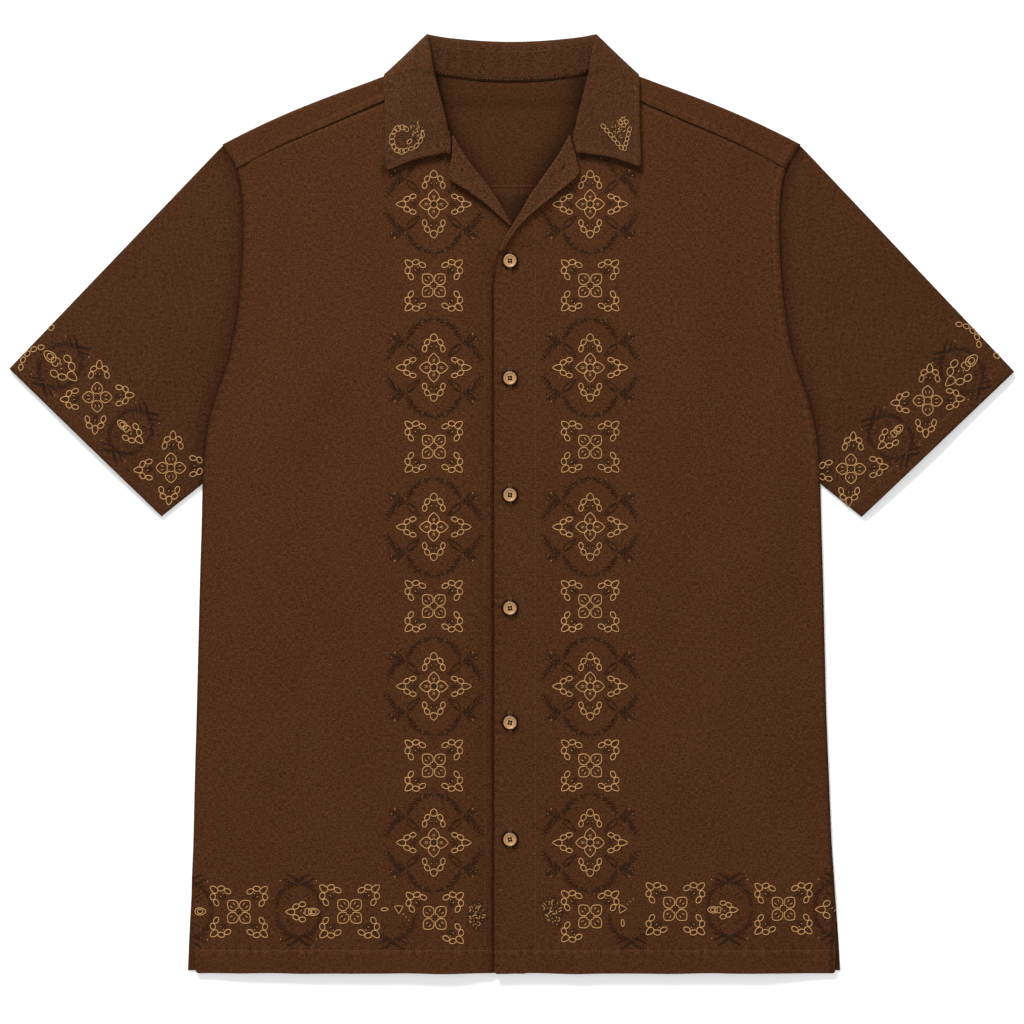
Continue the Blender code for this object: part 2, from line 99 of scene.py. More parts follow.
# %% The side seams and armholes
Side = namedtuple("Side", "y front_left front_right back_left back_right")
SIDES = [
    Side(-403.0, 270.9, 278.0, 278.2, 282.5),
    Side(-368.0, 273.2, 278.7, 276.8, 280.6),
    Side(-334.0, 274.8, 277.9, 275.0, 278.1),
    Side(-290.0, 273.3, 275.0, 273.3, 275.0),
    Side(-235.0, 272.0, 272.7, 272.0, 272.7),
]
for side_y, side_x in ((-180.0, 270.5), (-120.0, 269.0), (-60.0, 267.5), (-18.0, 266.2)):
    SIDES.append(Side(side_y, side_x, side_x, side_x, side_x))
Point = namedtuple("Point", "x y")
ARMHOLE = [
    Point(265.3, 19.0),
    Point(263.9, 41.0),
    Point(261.4, 63.0),
    Point(256.0, 86.0),
    Point(249.2, 106.0),
    Point(242.2, 127.0),
    Point(236.4, 156.0),
    Point(232.6, 190.0),
    Point(230.6, 226.0),
    Point(230.9, 256.0),
    Point(232.9, 276.0),
    Point(234.7, 284.0),
    Point(237.0, 291.2),
    Point(242.0, 298.4),
    Point(248.4, 308.6),
]
YOKE_END_POINT = 12
SHOULDER = [
    Point(248.4, 308.6),
    Point(228.0, 319.0),
    Point(200.0, 332.0),
    Point(163.0, 347.2),
    Point(108.5, 367.2),
    Point(72.0, 380.5),
]
print("rows up the side", len(SIDES), "points round an armhole", len(ARMHOLE))

# %% [markdown]
# ## Inner edges of the fronts
# Each front is straight up to the break, where its top turns out into a small lapel. From there the
# edge follows the roll line up to the neck seam. The front on the right of the picture lies on top,
# so its break is a little lower and its roll line crosses the middle.

# %% The inner edges of the fronts
UNDER_EDGE = [Point(UNDER_EDGE_X, y) for y in (28.0, 60.0, 92.0, 124.0, 156.0, 186.0)]
UNDER_EDGE += [
    Point(11.0, 212.0),
    Point(-1.0, 238.3),
    Point(-18.9, 268.3),
    Point(-38.2, 290.6),
    Point(-55.8, 318.6),
    Point(-65.2, 336.5),
    Point(-72.4, 362.2),
]
OVER_EDGE = [Point(OVER_EDGE_X, y) for y in (28.0, 60.0, 92.0, 124.0, 156.0, 188.0)]
OVER_EDGE += [
    Point(-9.4, 216.0),
    Point(-4.2, 226.2),
    Point(13.0, 255.5),
    Point(34.6, 285.3),
    Point(55.2, 318.6),
    Point(64.4, 336.5),
    Point(72.4, 362.2),
]
print("points on the inner edges", len(UNDER_EDGE), len(OVER_EDGE))

# %% [markdown]
# ## Facings and collar in sections
# A camp collar lies open, so the tops of the front facings show as small lapels. Each row of their
# tables is a point of the roll line with the point of the edge beside it. The collar is measured in
# slices, from the middle of the neck to the wing's point: neck seam, fold and edge, with heights.

# %% The turned-out facings and the collar
Turn = namedtuple("Turn", "roll_x roll_y edge_x edge_y flare")
UNDER_LAPEL = [
    Turn(-50.0, 315.6, -50.7, 313.0, 0.0),
    Turn(-47.3, 310.5, -51.0, 306.2, 0.0),
    Turn(-41.7, 301.0, -51.2, 298.6, 0.2),
    Turn(-35.7, 292.4, -53.3, 287.2, 0.9),
    Turn(-30.5, 285.5, -54.4, 279.5, 1.6),
    Turn(-24.5, 278.6, -47.7, 274.3, 1.6),
    Turn(-17.6, 269.2, -37.4, 268.3, 1.4),
    Turn(-9.9, 257.1, -22.8, 258.0, 1.0),
    Turn(-3.9, 246.8, -11.6, 248.1, 0.5),
    Turn(0.4, 239.1, -3.9, 241.2, 0.0),
]
OVER_LAPEL = [
    Turn(49.6, 315.8, 50.8, 313.2, 0.0),
    Turn(46.0, 308.7, 52.6, 306.8, 0.0),
    Turn(40.0, 298.4, 54.8, 300.4, 0.2),
    Turn(34.0, 289.8, 56.8, 290.7, 0.9),
    Turn(28.0, 281.2, 58.1, 282.9, 1.6),
    Turn(21.9, 272.6, 50.3, 275.6, 1.6),
    Turn(15.0, 262.3, 38.3, 265.7, 1.4),
    Turn(8.2, 250.3, 25.4, 255.4, 1.0),
    Turn(1.3, 239.1, 11.6, 243.4, 0.6),
    Turn(-5.6, 227.0, 1.5, 231.5, 0.2),
    Turn(-10.8, 216.7, -6.6, 218.6, 0.0),
]
Slice = namedtuple("Slice", "neck_x neck_y neck_z fold_x fold_y fold_z edge_x edge_y edge_z drop arch")
COLLAR = [
    Slice(0.0, 362.5, 3.0, 0.0, 397.6, 6.6, 0.0, 351.0, 0.9, 4.0, 0.0),
    Slice(25.0, 363.4, 3.0, 25.5, 398.4, 6.9, 30.0, 351.5, 0.9, 4.0, 0.0),
    Slice(48.0, 366.1, 3.0, 50.0, 400.4, 7.8, 62.0, 353.0, 0.9, 4.0, 0.0),
    Slice(60.0, 368.2, 3.1, 63.0, 402.0, 9.2, 88.0, 355.5, 0.9, 4.0, 0.0),
    Slice(66.3, 371.6, 3.3, 69.6, 403.0, 10.6, 103.0, 359.5, 0.95, 3.6, 0.0),
    Slice(67.9, 374.0, 3.6, 70.8, 402.9, 11.2, 106.6, 366.6, 1.7, 2.6, 0.0),
    Slice(69.3, 376.6, 4.1, 71.5, 402.4, 11.6, 108.8, 368.6, 4.4, 1.4, 0.0),
    Slice(70.5, 374.0, 5.0, 71.0, 397.0, 12.2, 109.7, 361.5, 7.5, 1.0, 0.0),
    Slice(70.4, 364.0, 5.3, 68.8, 387.0, 12.9, 109.4, 350.0, 7.7, 1.0, 0.0),
    Slice(68.3, 351.0, 5.3, 66.2, 371.0, 12.9, 109.2, 330.0, 7.9, 1.0, 0.0),
    Slice(62.7, 336.0, 5.3, 60.0, 346.0, 11.4, 109.2, 312.0, 8.0, 1.0, 0.4),
    Slice(56.9, 325.0, 6.0, 55.8, 328.5, 9.8, 109.2, 299.0, 8.2, 1.0, 1.2),
    Slice(52.7, 316.6, 7.2, 55.2, 316.8, 8.4, 109.2, 291.0, 8.2, 1.0, 2.2),
    Slice(52.3, 300.4, 7.1, 55.2, 300.0, 7.9, 109.2, 286.4, 8.2, 1.0, 3.0),
]
WING_START = 7
LEFT_TIP = Point(107.1, 284.9)
RIGHT_TIP = Point(111.4, 288.0)
LEFT_NOTCH_SHIFTS = (0.0, 0.0)
RIGHT_NOTCH_SHIFTS = (0.4, 3.6)
LEFT_SLEEVE = (Point(-431.3, 116.1), Point(-301.0, -10.3))
RIGHT_SLEEVE = (Point(431.8, 113.6), Point(301.2, -10.8))
print("sleeve hems in mm", round(math.dist(*LEFT_SLEEVE), 1), round(math.dist(*RIGHT_SLEEVE), 1))

# %% [markdown]
# ## Smooth lines through a few points
# A tailor draws a smooth curve through a few measured points. `curve_through` does the same with any
# row of numbers, so one function serves the armhole, the collar sections and the lapels. `ease` is a
# soft step, which makes one level of cloth flow into the next without an edge.

# %% Helpers for curves and soft steps
def ease(value):
    """A soft step from 0 to 1 while value goes from 0 to 1."""
    held = max(0.0, min(1.0, value))
    return held * held * (3.0 - 2.0 * held)


def mix(start, end, share):
    return start + (end - start) * share


def bell(distance, width):
    """1 at a line and softly down to 0 beyond its width."""
    return math.exp(-((distance / width) ** 2))


def read_table(pairs, key):
    """The second value at a key, on straight lines between (key, value) pairs in rising order."""
    if key <= pairs[0][0]:
        return pairs[0][1]
    for low, high in zip(pairs, pairs[1:]):
        if key <= high[0]:
            return mix(low[1], high[1], (key - low[0]) / (high[0] - low[0]))
    return pairs[-1][1]


def curve_through(rows, position):
    """A smooth curve through the rows of a table, read at a position counted in rows."""
    last = len(rows) - 1
    index = max(0, min(int(position), last - 1))
    t = position - index
    before = rows[max(index - 1, 0)]
    after = rows[min(index + 2, last)]
    values = []
    for a, b, c, d in zip(before, rows[index], rows[index + 1], after):
        values.append(
            b + 0.5 * t * (c - a + t * (2 * a - 5 * b + 4 * c - d + t * (3 * (b - c) + d - a)))
        )
    return values


def even_places(rows, step):
    """Positions along a table's curve about one step apart, and at every row."""
    places = [0.0]
    for index, (start, end) in enumerate(zip(rows, rows[1:])):
        pieces = max(1, round(math.dist(start[:2], end[:2]) / step))
        places += [index + (part + 1) / pieces for part in range(pieces)]
    return places


def side_line(widths):
    """The outer edge of one half, from the hem up the side and armhole to the shoulder."""
    low = [Point(width, row.y) for width, row in zip(widths, SIDES)]
    return low + ARMHOLE


FRONT_LEFT_SIDE = side_line([row.front_left for row in SIDES])
FRONT_RIGHT_SIDE = side_line([row.front_right for row in SIDES])
BACK_LEFT_SIDE = side_line([row.back_left for row in SIDES])
BACK_RIGHT_SIDE = side_line([row.back_right for row in SIDES])
MIDDLE_SIDE = side_line([(row.front_left + row.front_right) / 2 for row in SIDES])
EDGE_LINE = []
for place_along in even_places(MIDDLE_SIDE, 6.0):
    edge_x, edge_y = curve_through(MIDDLE_SIDE, place_along)
    EDGE_LINE.append((edge_y, edge_x))
SHOULDER_LINE = []
for place_along in even_places(list(reversed(SHOULDER)), 6.0):
    edge_x, edge_y = curve_through(list(reversed(SHOULDER)), place_along)
    SHOULDER_LINE.append((edge_x, edge_y))
print("points on the side line", len(EDGE_LINE), "and the shoulder", len(SHOULDER_LINE))

# %% [markdown]
# ## How high each layer lies
# Laid flat, the fronts rest on the back but loft a few millimetres away from the seams. These
# functions give the middle of the cloth anywhere on the shirt, and add what pressing leaves behind:
# slow unevenness, a few long creases placed one by one, thicker hems and seams, and the little puckers
# that a stitch line draws in.

# %% Creases placed one by one
Crease = namedtuple("Crease", "x y angle length width depth")
FRONT_CREASES = [
    Crease(-205.0, 150.0, 74.0, 210.0, 13.0, -0.9),
    Crease(-168.0, 96.0, 60.0, 150.0, 10.0, 0.7),
    Crease(-222.0, -60.0, 86.0, 190.0, 12.0, 0.6),
    Crease(-130.0, -200.0, 94.0, 170.0, 15.0, -0.5),
    Crease(-238.0, -230.0, 88.0, 160.0, 9.0, -0.6),
    Crease(-105.0, 60.0, 82.0, 130.0, 11.0, 0.4),
    Crease(206.0, 160.0, 104.0, 190.0, 12.0, -0.9),
    Crease(160.0, 110.0, 118.0, 160.0, 11.0, 0.7),
    Crease(226.0, -20.0, 93.0, 150.0, 10.0, 0.7),
    Crease(236.0, -190.0, 90.0, 220.0, 12.0, -0.6),
    Crease(128.0, -160.0, 85.0, 150.0, 14.0, -0.5),
    Crease(108.0, 40.0, 96.0, 110.0, 10.0, 0.4),
    Crease(180.0, -310.0, 80.0, 120.0, 12.0, 0.5),
    Crease(-190.0, -330.0, 101.0, 110.0, 11.0, 0.5),
]


def crease_relief(table, x, y):
    """The sum of soft troughs and ridges, each fading out towards its ends."""
    total = 0.0
    for crease in table:
        angle = math.radians(crease.angle)
        along = (x - crease.x) * math.cos(angle) + (y - crease.y) * math.sin(angle)
        across = (y - crease.y) * math.cos(angle) - (x - crease.x) * math.sin(angle)
        end = abs(2.0 * along / crease.length)
        if end < 1.0 and abs(across) < 3.0 * crease.width:
            total += crease.depth * bell(across, crease.width) * (1.0 - end * end) ** 2
    return total


# %% [markdown]
# ## What sewing leaves in the cloth
# A hem or seam is two or three plies thick up to its stitch line. The thread pulls the plies together
# there, so a groove and short, uneven puckers follow it. One function adds all three at any distance
# from an edge, and the heights of all the pieces share it.

# %% Seams, hems and puckers
HEM_DEPTH = 19.5
SEAM_WIDTH = 5.6
STEP_WIDTH = 1.8
STITCH_GROOVE = 0.26
STITCH_GROOVE_WIDTH = 1.1
PUCKER_PITCH = 7.5
PUCKER_REACH = 5.0
CLOSING_GROOVE = 1.7
CLOSING_GROOVE_X = -14.3
UNDER_FACING_X = -23.0
OVER_FACING_X = 20.0
ARMHOLE_LOW_Y = 19.0
ARMHOLE_HIGH_Y = 300.0


def wave(distance, pitch, seed):
    """An uneven ripple along a seam."""
    drift = 1.6 * noise.noise(Vector((distance / 23.0, seed, 0.0)))
    strength = 0.6 + 0.6 * noise.noise(Vector((distance / 31.0, seed + 7.0, 0.0)))
    return math.sin(math.tau * distance / pitch + 3.0 * drift) * strength


def stitched_edge(distance, along, seed, width=SEAM_WIDTH, rise=0.38, pucker=0.2):
    """Thicker cloth between an edge and its stitch line, a groove at the stitches, then puckers."""
    past = distance - width
    step = rise * (1.0 - ease((past + STEP_WIDTH / 2) / STEP_WIDTH))
    groove = -STITCH_GROOVE * bell(past, STITCH_GROOVE_WIDTH)
    return step + groove + pucker * wave(along, PUCKER_PITCH, seed) * bell(past, PUCKER_REACH)


print("pucker 6 mm from an edge", round(stitched_edge(6.0, 40.0, 2.0), 3), "mm")

# %% [markdown]
# ## The level of each layer
# From the surface up lie the back, the front underneath and the front on top. The fronts loft away
# from the side seams, and the upper one rises again at the break. The seams around the yoke are plain
# lines and curves, which several pieces share.

# %% Levels of the fronts, the yoke and the seams
def half_width(y):
    return read_table(EDGE_LINE, y)


def loft(x, y):
    """How far the front lifts off the back, away from the side seams and armholes."""
    inside = half_width(y) - abs(x)
    return SIDE_HEIGHT + FRONT_LOFT * ease(inside / LOFT_REACH)


def uneven(x, y):
    """Slow unevenness of pressed linen, still at the seams and under the buttons."""
    room = ease((half_width(y) - abs(x)) / 42.0) * ease((abs(x) - 26.0) / 22.0)
    slow = noise.noise(Vector((x / 62.0, y / 88.0, 3.1)))
    small = noise.noise(Vector((x / 21.0, y / 27.0, 9.4)))
    return room * (0.9 * slow + 0.28 * small)


def front_relief(x, y):
    """What the sewing and pressing add to either front."""
    relief = uneven(x, y) + crease_relief(FRONT_CREASES, x, y)
    side = half_width(y) - abs(x)
    if ARMHOLE_LOW_Y < y < ARMHOLE_HIGH_Y:
        relief += stitched_edge(side, y, 2.0)
    hem = y - FRONT_HEM_Y
    relief += stitched_edge(hem, x, 5.0, width=HEM_DEPTH, rise=0.45, pucker=0.42)
    return relief


def under_height(x, y):
    """The under front dips where the over front lies on it."""
    facing = 0.16 * wave(y, 13.0, 11.0) * bell(x - UNDER_FACING_X, 4.5)
    groove = -CLOSING_GROOVE * bell(x - CLOSING_GROOVE_X, 2.1) * ease((BREAK_Y + 8.0 - y) / 20.0)
    return loft(x, y) - OVERLAP_DIP * ease((x + 46.0) / 26.0) + front_relief(x, y) + facing + groove


CLOSING_LINE = [(188.0, -15.0), (202.0, -12.8), (216.0, -9.4), (226.2, -4.2)]


def over_height(x, y):
    """The over front rises a little over the under front, and more at the collar's break."""
    near_edge = ease((44.0 - x) / 26.0)
    break_lift = BREAK_RISE * ease((y - BREAK_Y) / 16.0) * ease((40.0 - x) / 28.0)
    from_edge = x - read_table(CLOSING_LINE, y)
    edge = 0.0
    if y < BREAK_Y + 60.0:
        edge = stitched_edge(from_edge, y, 17.0, width=4.2, rise=0.4, pucker=0.3)
    facing = 0.2 * wave(y, 12.0, 19.0) * bell(x - OVER_FACING_X, 5.0)
    return loft(x, y) + OVERLAP_RISE * near_edge + break_lift + front_relief(x, y) + edge + facing


def under_collar(x, y):
    """1 where the yoke lies on the collar's fall and 0 away from it."""
    return ease((y - 341.0) / 7.5) * ease((126.0 - abs(x)) / 13.0)


def shoulder_y(x):
    """The yoke's fold, set back under the collar so that the collar turns round it."""
    covered = ease((107.0 - abs(x)) / 2.0)
    return read_table(SHOULDER_LINE, abs(x)) - SHOULDER_SET_BACK * covered


def front_seam_y(x):
    """The seam between the yoke and a front, a little below the shoulder."""
    along = (abs(x) - YOKE_NECK_X) / (ARMHOLE[YOKE_END_POINT].x - YOKE_NECK_X)
    return mix(UNDER_EDGE[-1].y, ARMHOLE[YOKE_END_POINT].y, along)


def neck_seam_y(x):
    return NECK_CENTRE_Y + NECK_CORNER_RISE * (x / NECK_CORNER_X) ** 2


print("front height at the chest", round(under_height(-150.0, 100.0), 2), "mm")

# %% [markdown]
# ## The camera and the light
# The photo looks straight down on the shirt. A long lens from well above keeps the sleeves and hem
# as square to the picture as they are there. One soft key light from above the collar rakes across
# the cloth, so seams and stitches cast small shadows, and the bright room fills in.

# %% Camera, floor and lights
def add_object(name, data):
    """A new object in the scene's own collection."""
    made = bpy.data.objects.new(name, data)
    bpy.context.scene.collection.objects.link(made)
    return made


def mesh_from(name, shape):
    """A mesh of a finished bmesh, which is then freed."""
    mesh = bpy.data.meshes.new(name)
    shape.to_mesh(mesh)
    shape.free()
    return mesh


PIXEL = 0.86
PICTURE = 1024
FLOOR_GAP = 0.3
FLOOR_HALF = 3.0
FLOOR_WHITE = (0.93, 0.93, 0.93, 1.0)
ROOM_WHITE = (1.0, 1.0, 1.0, 1.0)
ROOM_LIGHT = 0.45
MIDDLE_COLUMN = 511.5
MIDDLE_ROW = 504.0
PHOTO_MIDDLE = Vector((PICTURE / 2 - MIDDLE_COLUMN, MIDDLE_ROW - PICTURE / 2, 0.0)) * PIXEL - BOX_MIDDLE
LENS = 100.0
SENSOR = 36.0
CAMERA_HEIGHT = PIXEL * PICTURE * LENS / SENSOR

camera_data = bpy.data.cameras.new("camera")
camera_data.lens = LENS
camera_data.sensor_width = SENSOR
camera = add_object("camera", camera_data)
camera.location = (PHOTO_MIDDLE + Vector((0.0, 0.0, CAMERA_HEIGHT))) * MM
bpy.context.scene.camera = camera
bpy.context.scene.view_settings.view_transform = "Standard"

floor_shape = bmesh.new()
below = Matrix.Translation((0.0, 0.0, -FLOOR_GAP * MM))
bmesh.ops.create_grid(floor_shape, x_segments=4, y_segments=4, size=FLOOR_HALF, matrix=below)
floor_mesh = mesh_from("floor", floor_shape)
floor = add_object("floor", floor_mesh)
floor_paint = bpy.data.materials.new("floor")
floor_paint.use_nodes = True
paint = floor_paint.node_tree.nodes["Principled BSDF"]
paint.inputs["Base Color"].default_value = FLOOR_WHITE
paint.inputs["Roughness"].default_value = 0.8
floor_mesh.materials.append(floor_paint)


def area_light(name, place, size, power):
    """A square lamp aimed at the middle of the shirt."""
    lamp = bpy.data.lights.new(name, "AREA")
    lamp.shape = "SQUARE"
    lamp.size = size
    lamp.energy = power
    light = add_object(name, lamp)
    light.location = place
    light.rotation_euler = Vector(place).to_track_quat("Z", "Y").to_euler()


area_light("key", (-1.35, 3.6, 2.0), 1.1, 275.0)
area_light("fill", (0.3, -0.9, 3.3), 3.0, 62.0)
room = bpy.data.worlds.new("room")
room.use_nodes = True
backdrop = room.node_tree.nodes["Background"]
backdrop.inputs["Color"].default_value = ROOM_WHITE
backdrop.inputs["Strength"].default_value = ROOM_LIGHT
bpy.context.scene.world = room
print("camera height", round(camera.location.z, 3), "m")

# %% [markdown]
# ## Shader parts that every material uses
# Cloth, thread and shell are all painted in the same way: some noise is added up to a shade, the
# shade picks a colour between a dark and a light one, and the same noise raises a small bump. These
# functions add the nodes for that, so each material below says only what is its own.

# %% Helpers for the shaders
def add_node(tree, kind, output, sockets, **settings):
    """A node whose sockets hold a value or are linked to another node's output."""
    node = tree.nodes.new("ShaderNode" + kind)
    for key, value in settings.items():
        setattr(node, key, value)
    for socket, value in sockets.items():
        if isinstance(value, bpy.types.NodeSocket):
            tree.links.new(value, node.inputs[socket])
        else:
            node.inputs[socket].default_value = value
    return node.outputs[output]


def add_math(tree, operation, first, second):
    return add_node(tree, "Math", "Value", {0: first, 1: second}, operation=operation)


def add_noise(tree, coordinates, scale, detail):
    """Noise stretched by its scale along each direction of the cut, in repeats a metre."""
    mapped = add_node(tree, "Mapping", "Vector", {"Vector": coordinates, "Scale": scale})
    return add_node(
        tree, "TexNoise", "Fac", {"Vector": mapped, "Scale": 1.0, "Detail": detail, "Roughness": 0.6}
    )


def add_ramp(tree, factor, low, high, start=0.0, end=1.0):
    """A colour between two, as a factor goes from start to end."""
    ramp = tree.nodes.new("ShaderNodeValToRGB")
    for stop, position, colour in zip(ramp.color_ramp.elements, (start, end), (low, high)):
        stop.position = position
        stop.color = (*colour, 1.0)
    tree.links.new(factor, ramp.inputs["Fac"])
    return ramp.outputs["Color"]


def add_range(tree, value, start, end, low, high):
    """Goes from low to high while the value goes from start to end."""
    ends = {"From Min": start, "From Max": end, "To Min": low, "To Max": high}
    return add_node(tree, "MapRange", "Result", {"Value": value, **ends})


def add_scale(tree, colour, amount):
    """A colour made darker or lighter."""
    return add_node(tree, "VectorMath", "Vector", {0: colour, "Scale": amount}, operation="SCALE")


def new_material(name, roughness, specular=0.5):
    material = bpy.data.materials.new(name)
    material.use_nodes = True
    shader = material.node_tree.nodes["Principled BSDF"]
    shader.inputs["Roughness"].default_value = roughness
    shader.inputs["Specular IOR Level"].default_value = specular
    return material, material.node_tree, shader


def finish_shader(tree, shader, colour, height, strength, distance):
    """Links the colour and a bump to the shader."""
    tree.links.new(colour, shader.inputs["Base Color"])
    sockets = {"Height": height, "Strength": strength, "Distance": distance * MM}
    tree.links.new(add_node(tree, "Bump", "Normal", sockets), shader.inputs["Normal"])


# %% [markdown]
# ## The cloth
# The cloth is a slubby plain weave of linen and cotton. Its colour comes from threads that are thick
# and thin along their length, so two sets of long, thin noise run along and across the cut of each
# piece, with slow patches of dye and pale flecks. The same threads make the bump.

# %% Materials for the cloth
WARP = (1180.0, 300.0, 1.0)
WEFT = (280.0, 1230.0, 1.0)
FLECKS = (1050.0, 1000.0, 1.0)
DYE_PATCHES = (16.0, 12.0, 1.0)
THREAD_SHARE = 1.25
FLECK_SHARE = 0.9
DYE_SHARE = 0.3
DARK_TINT = (0.68, 0.5, 0.34)
LIGHT_TINT = (1.32, 1.5, 1.66)
FOLD_BLEND = 3.0


def cloth_material(name, colour, contrast=1.0, stand_shade=1.0):
    """Slubby weave. stand_shade is painted shade where v is below 0: the collar's stand, which faces away
    from the light, and the yoke's inside back.
    """
    material, tree, shader = new_material(name, 0.95, 0.06)
    cut = add_node(tree, "UVMap", "UV", {}, uv_map="cut")
    threads = add_math(tree, "ADD", add_noise(tree, cut, WARP, 3.0), add_noise(tree, cut, WEFT, 3.0))
    threads = add_math(tree, "MULTIPLY", threads, THREAD_SHARE * contrast)
    dye = add_math(tree, "MULTIPLY", add_noise(tree, cut, DYE_PATCHES, 2.0), DYE_SHARE)
    specks = add_math(tree, "MULTIPLY", add_noise(tree, cut, FLECKS, 2.0), FLECK_SHARE * contrast)
    shade = add_math(tree, "ADD", add_math(tree, "ADD", threads, specks), dye)
    middle = (THREAD_SHARE + FLECK_SHARE / 2) * contrast + DYE_SHARE / 2
    shade = add_math(tree, "ADD", shade, 0.5 - middle)
    low = [share * part for share, part in zip(DARK_TINT, colour)]
    high = [share * part for share, part in zip(LIGHT_TINT, colour)]
    tone = add_ramp(tree, shade, low, high)
    # Painted shade below v = 0, on the stand and on the yoke's inside back.
    if stand_shade < 1.0:
        along = add_node(tree, "SeparateXYZ", "Y", {"Vector": cut})
        fold = add_range(tree, along, -FOLD_BLEND * MM, FOLD_BLEND * MM, stand_shade, 1.0)
        tone = add_scale(tree, tone, fold)
    # The colour is multiplied by each corner's painted shade.
    painted_shade = add_node(tree, "Attribute", "Fac", {}, attribute_name="painted_shade")
    finish_shader(tree, shader, add_scale(tree, tone, painted_shade), shade, 0.6, 0.3)
    return material


BODY_CLOTH = cloth_material("brown_cloth_body", (0.0536, 0.0187, 0.0062), 2.4)
SLEEVE_CLOTH = cloth_material("brown_cloth_sleeve", (0.0498, 0.0178, 0.0063), 3.3)
# The back panel is the body's cloth painted darker for the shade inside the shirt.
SHADED_INSIDE_CLOTH = cloth_material("brown_cloth_inside_shaded", (0.0425, 0.015, 0.0053), 1.9)
# The yoke's inside back is painted darker for the shade inside the shirt.
YOKE_CLOTH = cloth_material("brown_cloth_yoke", (0.0528, 0.0184, 0.0061), 2.1, stand_shade=0.84)
# The collar's stand is painted darker, as it faces away from the light.
COLLAR_FACE = cloth_material("brown_cloth_collar", (0.0555, 0.0214, 0.0082), 3.1, stand_shade=0.9)
print("cloth materials", BODY_CLOTH.name, COLLAR_FACE.name)

# %% [markdown]
# ## Cutting a piece of cloth
# Every piece starts as a flat grid, as a cutter starts with flat cloth. Each corner of the grid is
# laid in its place and remembers where it was on the cut, which keeps the weave straight. The sheet
# then gets its thickness, and its cut size is measured and printed.

# %% Fine sheets of cloth
FLAT_GRID = 0.5
SMOOTHINGS = 3
MERGE_WITHIN = 0.01


def cut_area(shape, layer):
    """The area of the flat cut, in square metres."""
    total = 0.0
    for face in shape.faces:
        corners = [loop[layer].uv for loop in face.loops]
        ring = zip(corners, corners[1:] + corners[:1])
        total += abs(sum(a.x * b.y - a.y * b.x for a, b in ring)) / 2
    return total


def lay_sheet(
    name, node, columns, rows, place, thickness, material,
    keep=None, soft_rows=(), painted_shade=None,
):
    """place(column, row) gives the corner (x, y, z) and where it was on the cut (u, v), all in mm.
    painted_shade(x, y) gives each corner's painted shade, 1 where none is painted.
    """
    shape = bmesh.new()
    # Each corner keeps a number of painted shade, and the cloth's material multiplies its colour by it.
    depth = shape.verts.layers.float.new("painted_shade")
    bmesh.ops.create_grid(shape, x_segments=columns, y_segments=rows, size=FLAT_GRID)
    cells = {}
    for vertex in shape.verts:
        column = round((vertex.co.x + FLAT_GRID) * columns)
        row = round((vertex.co.y + FLAT_GRID) * rows)
        cells[vertex] = (column, row)
    if keep:
        lost = []
        for face in shape.faces:
            column = min(cells[vertex][0] for vertex in face.verts)
            row = min(cells[vertex][1] for vertex in face.verts)
            if not keep(column, row):
                lost.append(face)
        bmesh.ops.delete(shape, geom=lost, context="FACES")
    layer = shape.loops.layers.uv.new("cut")
    spots = {}
    for vertex in shape.verts:
        x, y, z, u, v = place(*cells[vertex])
        vertex[depth] = painted_shade(x, y) if painted_shade else 1.0
        vertex.co = (Vector((x, y, z)) - BOX_MIDDLE) * MM
        spots[vertex] = Vector((u, v)) * MM
    for face in shape.faces:
        for loop in face.loops:
            loop[layer].uv = spots[loop.vert]
    area = cut_area(shape, layer)
    rounded = [vertex for vertex in shape.verts if cells[vertex][1] in soft_rows]
    for again in range(SMOOTHINGS if rounded else 0):
        bmesh.ops.smooth_vert(
            shape, verts=rounded, factor=0.5, use_axis_x=True, use_axis_y=True, use_axis_z=True
        )
    bmesh.ops.remove_doubles(shape, verts=shape.verts, dist=MERGE_WITHIN * MM)
    bmesh.ops.recalc_face_normals(shape, faces=shape.faces)
    count = len(shape.faces)
    mesh = mesh_from(name, shape)
    mesh.shade_smooth()
    mesh.materials.append(material)
    piece = add_object(name, mesh)
    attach(piece, "root")
    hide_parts(node)
    wall = piece.modifiers.new("thickness", "SOLIDIFY")
    wall.thickness = thickness * MM
    wall.offset = 0.0
    wide = max(spot.x for spot in spots.values()) - min(spot.x for spot in spots.values())
    long = max(spot.y for spot in spots.values()) - min(spot.y for spot in spots.values())
    print(name, "faces", count, "cut", round(wide, 3), "by", round(long, 3), "m, area", round(area, 4), "m2")
    return piece


# %% [markdown]
# ## Painted shade in the folds
# Below the wings, inside the neck and beside the closing the cloth gets less light. A soft studio
# light shows that only faintly on layers this thin, so each corner of the cloth also keeps a number
# of painted shade, and the colour is multiplied by it. It follows the same seams and puckers, with
# painted light and shade along the puckers and a painted shadow ring round each button.

# %% Where the cloth lies in the shade of a fold
# Strengths and widths of the painted shade and of the painted light and shade of the puckers; the darkest
# values are the least light it leaves.
NECK_SHADE, NECK_REACH = 0.55, 15.0
WING_SHADE, WING_REACH = 0.55, 7.5
LAPEL_SHADE, LAPEL_REACH = 0.42, 6.5
CLOSING_SHADE, CLOSING_REACH = 0.52, 1.3
BUTTON_SHADE, BUTTON_REACH = 0.85, 0.75
PUCKER_SHADE, PUCKER_INSET, PUCKER_WIDTH = 0.3, 4.0, 3.0
DARKEST_NECK = 0.3
DARKEST_FRONT = 0.15
NECK_LINE = sorted((point.y, max(0.0, point.x)) for point in OVER_EDGE[5:-1]) + [(352.0, 66.0), (371.0, 68.0)]
LAPEL_LINE = [(3.9, 241.2), (11.6, 248.1), (22.8, 258.0), (37.4, 268.3), (47.7, 274.3), (56.0, 280.5)]
